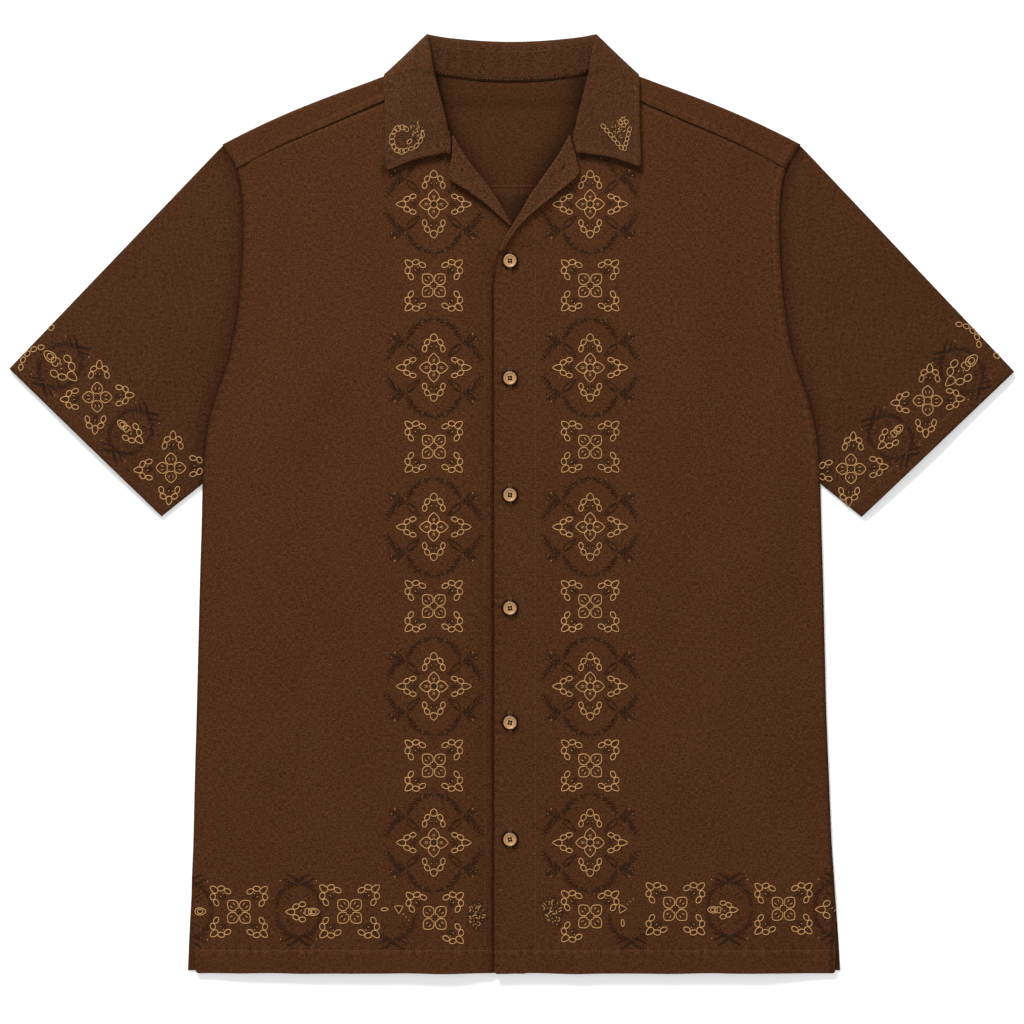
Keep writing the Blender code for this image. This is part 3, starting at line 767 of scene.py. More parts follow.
WING_LINE = [(50.0, 301.0), (56.0, 303.4), (70.0, 302.0), (84.0, 298.4), (98.0, 293.0), (110.0, 287.0)]


def neck_painted_shade(x, y):
    """Painted shade inside the neck, beside the collar's wings and below its seam, and painted light
    and shade along the puckers of the yoke's front seams.
    """
    beside = read_table(NECK_LINE, y) - abs(x + 3.0)
    dark = NECK_SHADE * bell(beside, NECK_REACH) if y < neck_seam_y(x) + 2.0 else 0.0
    below = neck_seam_y(x) - y
    if abs(x) > 80.0 and y > 250.0:
        dark += pucker_shade(y - front_seam_y(x) + 0.5, x, 8.0)
    return max(DARKEST_NECK, 1.0 - dark - 0.3 * bell(below, 4.0))


def sleeve_painted_shade(x, y):
    """Painted shade on a sleeve where it goes down to the armhole seam."""
    away = abs(x) - half_width(y)
    return 1.0 - 0.28 * bell(away, 9.0) - 0.3 * bell(away, 2.2)


def pucker_shade(distance, along, seed, pitch=8.0):
    """Painted light and shade in turn where the stitches draw the cloth up, about 4 mm inside an edge."""
    return PUCKER_SHADE * wave(along, pitch, seed) * bell(distance - PUCKER_INSET, PUCKER_WIDTH)


def front_painted_shade(x, y):
    """Painted shade on the fronts below the wings and lapels, round the buttons, in the step beside the
    closing and at the side seams, with painted light and shade along the puckers.
    """
    shade = 1.0
    if abs(x) > 48.0:
        below = read_table(WING_LINE, abs(x)) - y
        shade -= WING_SHADE * bell(below, WING_REACH) * ease((115.0 - abs(x)) / 6.0)
    elif abs(x) > 3.0 and y > 236.0:
        below = read_table(LAPEL_LINE, abs(x)) - y
        shade -= LAPEL_SHADE * bell(below, LAPEL_REACH)
    if y < BREAK_Y + 10.0:
        step = x + 1.0 - read_table(CLOSING_LINE, y) + 0.55 * wave(y, 34.0, 3.0)
        shade -= CLOSING_SHADE * bell(step, CLOSING_REACH)
        shade -= 0.12 * bell(x + 21.0, 6.0) * (x < OVER_EDGE_X)
    if abs(x - BUTTON_X) < NEAR_BUTTON:
        for row in BUTTON_ROWS:
            ring = math.dist((x, y), (BUTTON_X, row)) - BUTTON_RADIUS
            shade -= BUTTON_SHADE * bell(ring - 0.5, BUTTON_REACH) + 0.2 * bell(ring, 3.0)
    side = half_width(y) - abs(x)
    shade -= 0.4 * bell(side, 2.0)
    if ARMHOLE_LOW_Y < y < ARMHOLE_HIGH_Y:
        shade -= pucker_shade(side, y, 2.0)
    if x > -16.0:
        shade -= pucker_shade(x - read_table(CLOSING_LINE, y), y, 17.0, 7.5)
    shade -= pucker_shade(abs(y - FRONT_HEM_Y - HEM_DEPTH) + 2.0, x, 5.0)
    return max(DARKEST_FRONT, shade)


def collar_painted_shade(x, y):
    """Painted shade on the stand at its seam, blotched along its puckers, and painted light and shade
    on the wings in faint ripples and along their stitched edges.
    """
    above = y - neck_seam_y(x)
    if abs(x) > 84.0 or above < -1.0:
        shade = 1.0 - 0.05 * wave(x + 0.6 * y, 19.0, 8.0)
        shade -= pucker_shade(y - read_table(WING_LINE, abs(x)), x, 7.0, 6.5)
        return shade - (pucker_shade(108.0 - abs(x), y, 3.0, 6.5) if y < 366.0 else 0.0)
    return 1.0 - 0.3 * bell(above, 2.4) - 0.1 * wave(x, 14.0, 4.0) - 0.05 * wave(x, 5.0, 9.0)


print("light left below a wing", round(front_painted_shade(-90.0, 292.0), 2), "and beside a button", end=" ")
print(round(front_painted_shade(BUTTON_X + BUTTON_RADIUS + 0.5, BUTTON_ROWS[1]), 2))

# %% [markdown]
# ## The back panel
# One flat piece from the hem up to the yoke seam. It lies on the surface and most of it is hidden, so
# it is kept plain: its rows follow the side seams, and its top edge tucks up behind the yoke seam.

# %% The back panel
SIDE_STEPS = [0.0, 0.7, 1.5, 2.4, 3.5, 4.4, 5.1, 5.8, 6.6, 8.0]
EDGE_STEPS = [0.0, 0.7, 1.5, 2.5] + [3.5 + step for step in range(22)]
EDGE_STEPS += [26.0, 27.5, 29.0, 30.5, 32.0, 34.0, 37.0]
HEM_SHARES = [step / 35.0 for step in range(25)] + [0.8, 0.9]


def hem_places(rows, step):
    """Positions along the side, a millimetre apart in the hem and a step apart above it."""
    above = [place_on + 1.0 for place_on in even_places(rows[1:], step)]
    return HEM_SHARES + above


def spread(width, middle):
    """Distances across a front from its side, closest together at both of its edges."""
    inner = [width - step for step in reversed(EDGE_STEPS)]
    start = SIDE_STEPS[-1]
    return SIDE_STEPS + [mix(start, inner[0], (part + 1) / middle) for part in range(middle - 1)] + inner


def make_back():
    """The back panel, flat on the surface from the hem to the yoke seam."""
    left = [Point(-point.x, point.y) for point in BACK_LEFT_SIDE]
    right = BACK_RIGHT_SIDE
    left[0] = Point(left[0].x, BACK_HEM_Y)
    right = [Point(right[0].x, BACK_HEM_Y)] + right[1:]
    seam = YOKE_SEAM_Y + 1.0
    places = [spot for spot in hem_places(left, 7.0) if curve_through(left, spot)[1] < seam - 2.0]
    columns = 90

    def place(column, row):
        share = column / columns
        if row < len(places):
            left_x, y = curve_through(left, places[row])
            right_x = curve_through(right, places[row])[0]
        else:
            y = seam
            left_x, right_x = -half_width(y), half_width(y)
        x = mix(left_x, right_x, share)
        z = BACK_HEIGHT
        if y > YOKE_SEAM_Y - 1.5:
            z += 0.9
        return x, y, z, x, y

    return lay_sheet(
        "back_panel", "back", columns, len(places), place, CLOTH, SHADED_INSIDE_CLOTH,
        painted_shade=neck_painted_shade,
    )


BACK_PANEL = make_back()

# %% [markdown]
# ## The two fronts
# A row of each front runs from its side seam to its inner edge. Rows and columns lie closest at the
# edges and the hem, where the relief is finest, and round the buttons, where the painted shadow ring
# needs them. The lower corners are a little round, as a turned and pressed corner is, and the hem
# line wavers by less than a millimetre.

# %% The two fronts
FRONT_COLUMNS = 60
FRONT_STEP = 2.9
INNER_CORNER = 3.2
OUTER_CORNER = 2.4
HEM_WAVER = 0.8
VENT_TOP_Y = -332.0
UNDERARM_Y = 24.0
SIDE_TUCK = 0.75
YOKE_TUCK = 0.7
YOKE_LAP = 0.8
TUCK_REACH = 3.0


def round_corner(x, y, corner_x, corner_y, outward, radius):
    """Draws the cloth near a square lower corner in to a round one."""
    across = (radius - outward * (corner_x - x)) / radius
    down = (radius - (y - corner_y)) / radius
    if min(across, down) <= 0.0:
        return x, y
    across, down = min(across, 1.0), min(down, 1.0)
    new_across = across * math.sqrt(1.0 - 0.5 * down * down)
    new_down = down * math.sqrt(1.0 - 0.5 * across * across)
    return corner_x - outward * radius * (1.0 - new_across), corner_y + radius * (1.0 - new_down)


def finer_at_buttons(places, line):
    """Three rows for each one near a button, so that its painted shadow ring is crisp."""
    finer = []
    for start, end in zip(places, places[1:]):
        y = curve_through(line, (start + end) / 2)[1]
        near = min(abs(y - row) for row in BUTTON_ROWS) < NEAR_BUTTON
        parts = 3 if near else 1
        finer += [mix(start, end, part / parts) for part in range(parts)]
    return finer + [places[-1]]


def make_front(name, node, direction, side, edge, height):
    """One front, from its side seam and armhole to its edge, roll line and neck."""
    edge_x = edge[0].x
    levels = [FRONT_HEM_Y] + [row.y for row in SIDES[1:]]
    outer = [Point(direction * point.x, point.y) for point in side]
    inner = [Point(edge_x, y) for y in levels] + edge
    last = len(inner) - 1
    places = hem_places(outer[: last + 1], FRONT_STEP)
    if direction > 0.0:
        places = finer_at_buttons(places, inner)
    columns = len(SIDE_STEPS) + len(EDGE_STEPS) + FRONT_COLUMNS - 2
    lines = {}

    def ends(row):
        if row not in lines:
            out_x, out_y = curve_through(outer, places[row])
            in_x, in_y = curve_through(inner, places[row])
            width = math.dist((out_x, out_y), (in_x, in_y))
            lines[row] = (out_x, out_y, in_x, in_y, [step / width for step in spread(width, FRONT_COLUMNS)])
        return lines[row]

    def place(column, row):
        out_x, out_y, in_x, in_y, shares = ends(row)
        x = mix(out_x, in_x, shares[column])
        y = mix(out_y, in_y, shares[column])
        if row == len(places) - 1:
            y = front_seam_y(x) + YOKE_LAP
        x, y = round_corner(x, y, edge_x, FRONT_HEM_Y, -direction, INNER_CORNER)
        x, y = round_corner(x, y, outer[0].x, FRONT_HEM_Y, direction, OUTER_CORNER)
        waver = HEM_WAVER * noise.noise(Vector((x / 38.0, direction, 4.0)))
        y += waver * (1.0 - ease((y - FRONT_HEM_Y) / 50.0))
        z = height(x, y)
        if VENT_TOP_Y < y < UNDERARM_Y:
            z -= SIDE_TUCK * (1.0 - ease(abs(out_x - x) / TUCK_REACH))
        z -= YOKE_TUCK * (1.0 - ease((front_seam_y(x) + YOKE_LAP - y) / TUCK_REACH))
        return x, y, z, x, y

    return lay_sheet(
        name, node, columns, len(places) - 1, place, CLOTH, BODY_CLOTH,
        painted_shade=front_painted_shade,
    )


FRONT_UNDER = make_front(
    "front_right_under", "front_under", -1.0, FRONT_LEFT_SIDE, UNDER_EDGE, under_height
)
FRONT_OVER = make_front(
    "front_left_over", "front_over", 1.0, FRONT_RIGHT_SIDE, OVER_EDGE, over_height
)

# %% [markdown]
# ## The yoke
# The yoke starts at the back seam, turns over the shoulders and comes down to the front seams. Its
# fold is half a circle between the two levels. The middle stays open for the neck, and near the
# collar the fold is set back, so that the collar turns round it.

# %% The yoke
YOKE_STEP = 4.5


def make_yoke():
    """From the back seam over both shoulders to the front seams, left open at the neck."""
    seam = YOKE_SEAM_Y - 0.3
    back_shares = [0.0, 0.02, 0.04, 0.06, 0.08, 0.12] + [0.12 + 0.88 * (part + 1) / 16 for part in range(16)]
    turn_angles = [22.5, 45.0, 67.5, 90.0, 112.5, 135.0, 157.5, 180.0]
    front_shares = [0.15, 0.3, 0.45, 0.55, 0.62, 0.69, 0.76, 0.83, 0.9, 0.96, 1.0]
    marks = [0.0, 30.0, 52.0, 66.0, YOKE_NECK_X, 90.0, 109.0, 114.0, 126.0, 150.0, 180.0, 215.0, 236.0]
    marks.append(ARMHOLE[-1].x)
    half = [0.0]
    for start, end in zip(marks, marks[1:]):
        parts = max(1, round((end - start) / YOKE_STEP))
        half += [mix(start, end, (part + 1) / parts) for part in range(parts)]
    sections = [-x for x in reversed(half[1:])] + half
    fold_row = len(back_shares) - 1
    turn_row = fold_row + len(turn_angles)
    row_count = turn_row + len(front_shares)
    full = ARMHOLE[-1].x

    def profile(x, row):
        """The height along the shirt and off the surface of one row, at a distance from the middle."""
        crest = shoulder_y(x)
        low = BACK_HEIGHT + YOKE_LIFT * under_collar(x, crest)
        radius = (loft(x, crest) - low) / 2
        base = crest - radius
        if abs(x) < YOKE_NECK_X - 1.0:
            base = neck_seam_y(x)
        if row <= fold_row:
            y = mix(seam, base, back_shares[row])
            return y, BACK_HEIGHT + YOKE_LIFT * under_collar(x, y)
        if row <= turn_row:
            angle = math.radians(turn_angles[row - fold_row - 1])
            return base + radius * math.sin(angle), low + radius * (1.0 - math.cos(angle))
        y = mix(base, front_seam_y(x), front_shares[row - turn_row - 1])
        z = loft(x, y) + stitched_edge(y - front_seam_y(x), x, 23.0, rise=0.5)
        return y, z + stitched_edge(half_width(y) - abs(x), y, 2.0)

    def place(column, row):
        x = sections[column]
        y, z = profile(x, row)
        end_y = profile(full, row)[0]
        pull = (full - half_width(end_y)) * (abs(x) / full) ** 6
        x -= math.copysign(pull, x)
        if row == row_count:
            y = front_seam_y(x)
        from_fold = y - profile(x, fold_row)[0]
        return x, y, z, x, from_fold if row <= fold_row else shoulder_y(x) - y + 0.5

    def keep(column, row):
        return row < fold_row or min(abs(sections[column]), abs(sections[column + 1])) > YOKE_NECK_X - 1.0

    return lay_sheet(
        "shoulder_yoke", "yoke", len(sections) - 1, row_count, place, CLOTH, YOKE_CLOTH,
        keep, painted_shade=neck_painted_shade,
    )


YOKE = make_yoke()

# %% [markdown]
# ## The sleeves
# Each sleeve is a tube pressed flat. A ring of cloth runs down its front and back up behind, and the
# rings go from the armhole to the hem. The cap tucks under the body's seam, and the grain runs square
# to the sleeve's own hem, as on a sleeve that is cut on its own.

# %% The sleeves
SLEEVE_SEAM_DROP = 0.9
SLEEVE_TUCK = 1.2
SLEEVE_HEM = 12.5
SLEEVE_STEP = 5.0
SLEEVE_FOLD = 2.0
SLEEVE_SEAM_REACH = 5.0
FAR_FROM_HEM = 200.0


def make_sleeve(name, node, direction, corners):
    """A flattened tube from the armhole to the hem, open at both ends, tucked under the armhole seam."""
    top, low = corners
    points = [Point(direction * (point.x - SLEEVE_TUCK), point.y) for point in reversed(ARMHOLE)]
    places = even_places(points, SLEEVE_STEP)
    spots = [curve_through(points, spot) for spot in places]
    lengths = [0.0]
    for start, end in zip(spots, spots[1:]):
        lengths.append(lengths[-1] + math.dist(start, end))
    total = lengths[-1]
    lip = [0.15, 0.5, 1.0, 1.8]
    inside = [length for length in lengths if 3.0 < length < total - 3.0]
    front = [0.0] + lip + inside + [total - step for step in reversed(lip)] + [total]
    around = [(length, True) for length in front] + [(length, False) for length in reversed(front[1:-1])]
    rings = [0.0, 0.004, 0.01, 0.02, 0.035] + [0.05 + 0.85 * part / 34 for part in range(35)]
    rings += [0.91, 0.92, 0.928, 0.936, 0.944, 0.952, 0.96, 0.97, 0.98, 0.99, 1.0]
    middle = Point((top.x + low.x) / 2, (top.y + low.y) / 2)
    hem_angle = math.atan2(top.y - low.y, top.x - low.x)

    def on_cut(x, y):
        """Turned so that the grain runs square to the sleeve's hem."""
        cut_x = (x - middle.x) * math.cos(hem_angle) + (y - middle.y) * math.sin(hem_angle)
        return cut_x, (y - middle.y) * math.cos(hem_angle) - (x - middle.x) * math.sin(hem_angle)

    def spot_at(length):
        for index, end in enumerate(lengths[1:]):
            if length <= end or index == len(lengths) - 2:
                share = (length - lengths[index]) / (end - lengths[index])
                (x0, y0), (x1, y1) = spots[index : index + 2]
                return mix(x0, x1, share), mix(y0, y1, share)

    def place(column, row):
        length, is_front = around[column % len(around)]
        start_x, start_y = spot_at(length)
        across = length / total
        along = rings[row]
        x = mix(start_x, mix(top.x, low.x, across), along)
        y = mix(start_y, mix(top.y, low.y, across), along)
        from_fold = min(length, total - length)
        rise = 0.5 * math.sqrt(max(0.0, 1.0 - (1.0 - min(1.0, from_fold / SLEEVE_FOLD)) ** 2))
        share = 0.5 + rise if is_front else 0.5 - rise
        bulge = math.sin(math.pi * across) * ease(along / 0.3) * (1.0 - 0.35 * along)
        z = BACK_HEIGHT + (SIDE_HEIGHT - BACK_HEIGHT + SLEEVE_LOFT * bulge) * share
        end = (mix(top.x, low.x, across), mix(top.y, low.y, across))
        reach = along * math.dist((start_x, start_y), end)
        hem = (1.0 - along) / along * reach if along else FAR_FROM_HEM
        seam = 1.0 - ease(reach / SLEEVE_SEAM_REACH)
        room = ease(from_fold / 12.0)
        if is_front:
            z -= SLEEVE_SEAM_DROP * seam
            z += room * sleeve_relief(x, y, reach, hem)
        else:
            z += SLEEVE_SEAM_DROP * seam
        cut_x, cut_y = on_cut(x, y)
        if not is_front or column == len(around):
            under_x = on_cut(mix(points[-1].x, low.x, along), mix(points[-1].y, low.y, along))[0]
            cut_x = 2.0 * under_x - cut_x
        return x, y, z, cut_x, cut_y

    return lay_sheet(
        name, node, len(around), len(rings) - 1, place, CLOTH, SLEEVE_CLOTH,
        painted_shade=sleeve_painted_shade,
    )


def sleeve_relief(x, y, reach, hem):
    """Trough beside the armhole, slow unevenness, and the stitched hem."""
    trough = -0.9 * bell(reach - 10.0, 7.0) * ease(reach / 6.0)
    slow = 0.7 * noise.noise(Vector((x / 48.0, y / 48.0, 5.5))) * ease(reach / 30.0)
    fall = crease_relief(SLEEVE_CREASES, abs(x), y)
    return trough + slow + fall + stitched_edge(hem, x + y, 31.0, width=SLEEVE_HEM, rise=0.4, pucker=0.3)


SLEEVE_CREASES = [
    Crease(300.0, 190.0, 58.0, 150.0, 9.0, -0.6),
    Crease(330.0, 120.0, 44.0, 120.0, 10.0, 0.6),
    Crease(282.0, 90.0, 70.0, 120.0, 8.0, 0.6),
    Crease(372.0, 150.0, -48.0, 90.0, 9.0, -0.4),
]
SLEEVE_LEFT = make_sleeve("sleeve_right_arm", "sleeve_left", -1.0, LEFT_SLEEVE)
SLEEVE_RIGHT = make_sleeve("sleeve_left_arm", "sleeve_right", 1.0, RIGHT_SLEEVE)

# %% [markdown]
# ## Collar and turned-out facings
# A camp collar has no band: the stand and the fall are one curved piece, and the facings of the
# fronts turn out below it. The collar is swept through measured sections, from the neck seam up the
# stand, over the fold and down to its edge. The facings roll over on a small radius.

# %% The lapels
FINE_STEP = 2.2
LOOK_ALONG = 0.4


def make_lapel(name, node, table, height):
    """The facing turned out along the roll line, lying on its front."""
    angles = [-90.0 + 22.5 * step for step in range(9)]
    shares = [0.12, 0.24, 0.36, 0.48, 0.6, 0.7, 0.78, 0.85, 0.91, 0.96, 1.0]
    places = even_places(table, FINE_STEP)
    columns = len(angles) + len(shares) - 1

    def place(column, row):
        spot = places[row]
        turn = Turn(*curve_through(table, spot))
        before = curve_through(table, max(spot - LOOK_ALONG, 0.0))
        after = curve_through(table, min(spot + LOOK_ALONG, len(table) - 1.0))
        roll_x = after[0] - before[0]
        roll_y = after[1] - before[1]
        length = math.hypot(roll_x, roll_y)
        side = roll_x * (turn.edge_y - turn.roll_y) - roll_y * (turn.edge_x - turn.roll_x)
        side = math.copysign(1.0, side)
        away_x = -side * roll_y / length
        away_y = side * roll_x / length
        if column < len(angles):
            angle = math.radians(angles[column])
            reach = ROLL_RADIUS * (1.0 - math.cos(angle))
            x = turn.roll_x + away_x * reach
            y = turn.roll_y + away_y * reach
            z = height(turn.roll_x, turn.roll_y) + ROLL_RADIUS * (1.0 + math.sin(angle))
            return x, y, z, turn.roll_x + away_x * ROLL_RADIUS * (2.0 - angle), turn.roll_y
        share = shares[column - len(angles)]
        x = mix(turn.roll_x + away_x * ROLL_RADIUS, turn.edge_x, share)
        y = mix(turn.roll_y + away_y * ROLL_RADIUS, turn.edge_y, share)
        z = height(x, y) + 2 * ROLL_RADIUS + turn.flare * share ** 2
        room = math.dist((x, y), (turn.edge_x, turn.edge_y))
        z += stitched_edge(room, spot * 9.0, 41.0, width=4.6, rise=0.3, pucker=0.3)
        return x, y, z, x, y

    return lay_sheet(name, node, columns, len(places) - 1, place, COLLAR_CLOTH, COLLAR_FACE)


LAPEL_UNDER = make_lapel(
    "facing_right_turned", "lapel_under", UNDER_LAPEL, under_height
)
LAPEL_OVER = make_lapel(
    "facing_left_turned", "lapel_over", OVER_LAPEL, over_height
)

# %% [markdown]
# ## The collar
# Smooth curves join the slices: up the stand, over the fold and down the fall to the edge. The rows
# beside the fold are smoothed, so the collar turns over softly. Each tip is drawn in to a small
# radius, because a point that is turned out by hand is never quite sharp.

# %% The collar
def collar_side(direction, tip, notch_shifts):
    """Half of the collar, with the wing drawn out to its own tip and notch."""
    last = len(COLLAR) - 1
    slices = []
    for index, row in enumerate(COLLAR):
        progress = max(0, index - WING_START) / (last - WING_START)
        edge_x = row.edge_x + (tip.x - COLLAR[last].edge_x) * progress
        edge_y = row.edge_y + (tip.y - COLLAR[last].edge_y) * progress
        shift = notch_shifts[index - last + 1] if index >= last - 1 else 0.0
        slices.append(
            row._replace(
                neck_x=direction * (row.neck_x + shift),
                fold_x=direction * (row.fold_x + shift),
                edge_x=direction * edge_x,
                edge_y=edge_y,
            )
        )
    return slices


LEFT_HALF = collar_side(-1.0, LEFT_TIP, LEFT_NOTCH_SHIFTS)
RIGHT_HALF = collar_side(1.0, RIGHT_TIP, RIGHT_NOTCH_SHIFTS)
COLLAR_ROWS = list(reversed(LEFT_HALF[1:])) + RIGHT_HALF
STAND_SHARES = [part / 8 for part in range(8)]
FALL_SHARES = [0.02, 0.05, 0.09, 0.15, 0.22, 0.3, 0.38, 0.46, 0.54, 0.62, 0.7, 0.77, 0.83, 0.87]
FALL_SHARES += [0.9, 0.93, 0.96, 0.98, 1.0]


def collar_point(cut, row):
    """One corner of a section: up the stand, the fold, then down the fall."""
    turned = (cut.drop - 1.0) / 3.0
    if row < len(STAND_SHARES):
        share = STAND_SHARES[row]
        x = mix(cut.neck_x, cut.fold_x, share)
        y = mix(cut.neck_y, cut.fold_y, share)
        return x, y, mix(cut.neck_z, cut.fold_z, share)
    if row == len(STAND_SHARES):
        return cut.fold_x, cut.fold_y, cut.fold_z - 0.5 * TURN_DEPTH * turned
    share = FALL_SHARES[row - len(STAND_SHARES) - 1]
    start_z = cut.fold_z - TURN_DEPTH * turned
    x = mix(cut.fold_x, cut.edge_x, share)
    y = mix(cut.fold_y, cut.edge_y, share) + cut.arch * math.sin(math.pi * share)
    return x, y, cut.edge_z + (start_z - cut.edge_z) * (1.0 - share) ** cut.drop


TIP_RADIUS = 4.5
FEWEST_PARTS = 5


def round_tip(x, y, wing, to_edge, to_low):
    """Round the wing's corner off: draw a square of cloth at the tip into a quarter of a disc."""
    a = TIP_RADIUS - min(TIP_RADIUS, to_edge)
    b = TIP_RADIUS - min(TIP_RADIUS, to_low)
    if a <= 0.0 or b <= 0.0:
        return x, y
    pull = 1.0 - max(a, b) / math.hypot(a, b)
    inward = Vector((wing.fold_x - wing.edge_x, wing.fold_y - wing.edge_y)).normalized()
    spot = Vector((x, y)) + inward * (a * pull) + Vector((0.0, 1.0)) * (b * pull)
    return spot.x, spot.y


def make_collar():
    """The collar laid across its slices, with its tips rounded and its stand puckered."""
    last = len(COLLAR_ROWS) - 1
    places = []
    for index in range(last):
        wide = math.dist(COLLAR_ROWS[index][6:8], COLLAR_ROWS[index + 1][6:8])
        parts = max(FEWEST_PARTS, round(wide / FINE_STEP))
        places += [index + part / parts for part in range(parts)]
    places.append(float(last))
    rows = len(STAND_SHARES) + len(FALL_SHARES)
    along = [0.0]
    for start, end in zip(places, places[1:]):
        first = curve_through(COLLAR_ROWS, start)
        second = curve_through(COLLAR_ROWS, end)
        along.append(along[-1] + math.dist(first[3:5], second[3:5]))
    down = {}

    def place(column, row):
        cut = Slice(*curve_through(COLLAR_ROWS, places[column]))
        x, y, z = collar_point(cut, row)
        before = collar_point(cut, row - 1) if row else (x, y, z)
        down[column, row] = down.get((column, row - 1), 0.0) + math.dist(before, (x, y, z))
        if row > len(STAND_SHARES):
            share = FALL_SHARES[row - len(STAND_SHARES) - 1]
            to_edge = (1.0 - share) * math.dist((cut.fold_x, cut.fold_y), (cut.edge_x, cut.edge_y))
            nearest = 0.0 if places[column] < last / 2 else float(last)
            low_x, low_y = collar_point(Slice(*curve_through(COLLAR_ROWS, nearest)), row)[:2]
            room = min(to_edge, math.dist((x, y), (low_x, low_y)))
            z += stitched_edge(room, along[column] + 40.0 * share, 51.0, width=4.7, rise=0.42, pucker=0.3)
            x, y = round_tip(x, y, COLLAR_ROWS[round(nearest)], to_edge, math.dist((x, y), (low_x, low_y)))
        elif row < len(STAND_SHARES):
            z += 0.3 * wave(along[column], 13.0, 6.0) * math.sin(math.pi * STAND_SHARES[row])
        stand = math.dist((cut.neck_x, cut.neck_y, cut.neck_z), (cut.fold_x, cut.fold_y, cut.fold_z))
        return x, y, z, along[column], down[column, row] - stand

    return lay_sheet(
        "camp_collar", "collar", len(places) - 1, rows, place, COLLAR_CLOTH, COLLAR_FACE,
        soft_rows=range(len(STAND_SHARES) - 1, len(STAND_SHARES) + 4), painted_shade=collar_painted_shade,
    )


COLLAR_PIECE = make_collar()

# %% [markdown]
# ## Thread and topstitching
# A shirt is held together by its visible stitch lines. Each stitch is a short strand of thread that
# dips into the cloth at both ends. Its place is drawn in plan and then dropped straight down onto the
# finished cloth, as a needle would, so it follows every crease.

# %% Thread and how it is sewn
STITCH = 0.27
STITCH_PITCH = 3.0
STITCH_LENGTH = 2.1
ABOVE_ALL = 60.0


def thread_material(name, colour, roughness, specular=0.1):
    material, tree, shader = new_material(name, roughness, specular)
    place = add_node(tree, "TexCoord", "Object", {})
    ply = add_noise(tree, place, (900.0, 900.0, 900.0), 2.0)
    slow = add_noise(tree, place, (60.0, 60.0, 60.0), 1.0)
    shade = add_math(tree, "ADD", add_math(tree, "MULTIPLY", ply, 0.7), add_math(tree, "MULTIPLY", slow, 0.5))
    shade = add_math(tree, "ADD", shade, 0.4)
    finish_shader(tree, shader, add_scale(tree, colour, shade), ply, 0.5, 0.2)
    return material


BROWN_THREAD = thread_material("thread_brown", (0.105, 0.047, 0.022), 0.7)
DARK_THREAD = thread_material("thread_dark", (0.019, 0.0098, 0.0058), 0.7, 0.03)
GOLD_THREAD = thread_material("thread_gold", (0.42, 0.225, 0.082), 0.5, 0.2)


def drop_onto(*pieces):
    """Finds the top of some pieces below a point of the plan, or None beside them."""
    graph = bpy.context.evaluated_depsgraph_get()
    trees = [BVHTree.FromObject(piece, graph) for piece in pieces]

    def top(x, y):
        start = (Vector((x, y, ABOVE_ALL)) - BOX_MIDDLE) * MM
        hits = [tree.ray_cast(start, Vector((0.0, 0.0, -1.0)))[0] for tree in trees]
        found = [hit.z / MM for hit in hits if hit is not None]
        return max(found) if found else None

    return top


def sew(name, strands, top, radius, material, closed=False, sides=0, sink=0.4, lift=0.45):
    """Lays strands of thread, each a list of points in plan. Open strands dip and thin at both ends."""
    curve = bpy.data.curves.new(name, "CURVE")
    curve.dimensions = "3D"
    curve.bevel_depth = radius * MM
    curve.bevel_resolution = sides
    curve.use_fill_caps = True
    made = 0
    for strand in strands:
        heights = [top(x, y) for x, y in strand]
        if None in heights:
            continue
        made += 1
        spline = curve.splines.new("POLY")
        spline.points.add(len(strand) - 1)
        spline.use_cyclic_u = closed
        for index, (point, (x, y), height) in enumerate(zip(spline.points, strand, heights)):
            at_end = not closed and index in (0, len(strand) - 1)
            z = height + radius * (-sink if at_end else lift)
            point.co = (*((Vector((x, y, z)) - BOX_MIDDLE) * MM), 1.0)
            point.radius = 0.5 if at_end else 1.0
    curve.materials.append(material)
    piece = add_object(name, curve)
    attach(piece, "root")
    print(name, "strands", made)
    return piece


print("thread materials", BROWN_THREAD.name, DARK_THREAD.name, GOLD_THREAD.name)

# %% [markdown]
# ## Rows of stitches
# A machine sews at one pitch, with a short gap where the thread dips under. A row is cut out of a
# line through points, so the same function serves straight hems and curved armholes.

# %% Stitches along a line
def run_stitches(line, pitch=STITCH_PITCH, length=STITCH_LENGTH):
    """Short strands one pitch apart along a line through points."""
    strands = []
    travelled = 0.0
    due = 0.6
    for (start_x, start_y), (end_x, end_y) in zip(line, line[1:]):
        span = math.dist((start_x, start_y), (end_x, end_y))
        while due + length < travelled + span:
            strand = []
            for part in (0.0, 0.5, 1.0):
                share = max(0.0, due + part * length - travelled) / span
                strand.append((mix(start_x, end_x, share), mix(start_y, end_y, share)))
            strands.append(strand)
            due += pitch
        travelled += span
    return strands


def run_lines(lines, pitch=STITCH_PITCH, length=STITCH_LENGTH):
    """The stitches of several lines, in one list."""
    return [stitch for line in lines for stitch in run_stitches(line, pitch, length)]


# %% [markdown]
# ## Topstitching on the body and sleeves
# Stitch lines run inside the armholes, above the front yoke seams, along the hems and down the edges
# of the hidden facings. Their thread is a lighter brown than the cloth, at about eight stitches an
# inch.

# %% Topstitching on the body and sleeves
HEM_STITCH_Y = FRONT_HEM_Y + HEM_DEPTH
FACING_STITCH_LEFT = -22.8
FACING_STITCH_RIGHT = 20.4


def armhole_line(direction, inset):
    """A line inside the armhole seam."""
    line = []
    for spot in even_places(ARMHOLE, 8.0):
        x, y = curve_through(ARMHOLE, spot)
        if 22.0 < y < 304.0:
            line.append((direction * (x - inset), y))
    return line


def straight(x0, y0, x1, y1, step=12.0):
    count = max(1, round(math.dist((x0, y0), (x1, y1)) / step))
    return [(mix(x0, x1, part / count), mix(y0, y1, part / count)) for part in range(count + 1)]


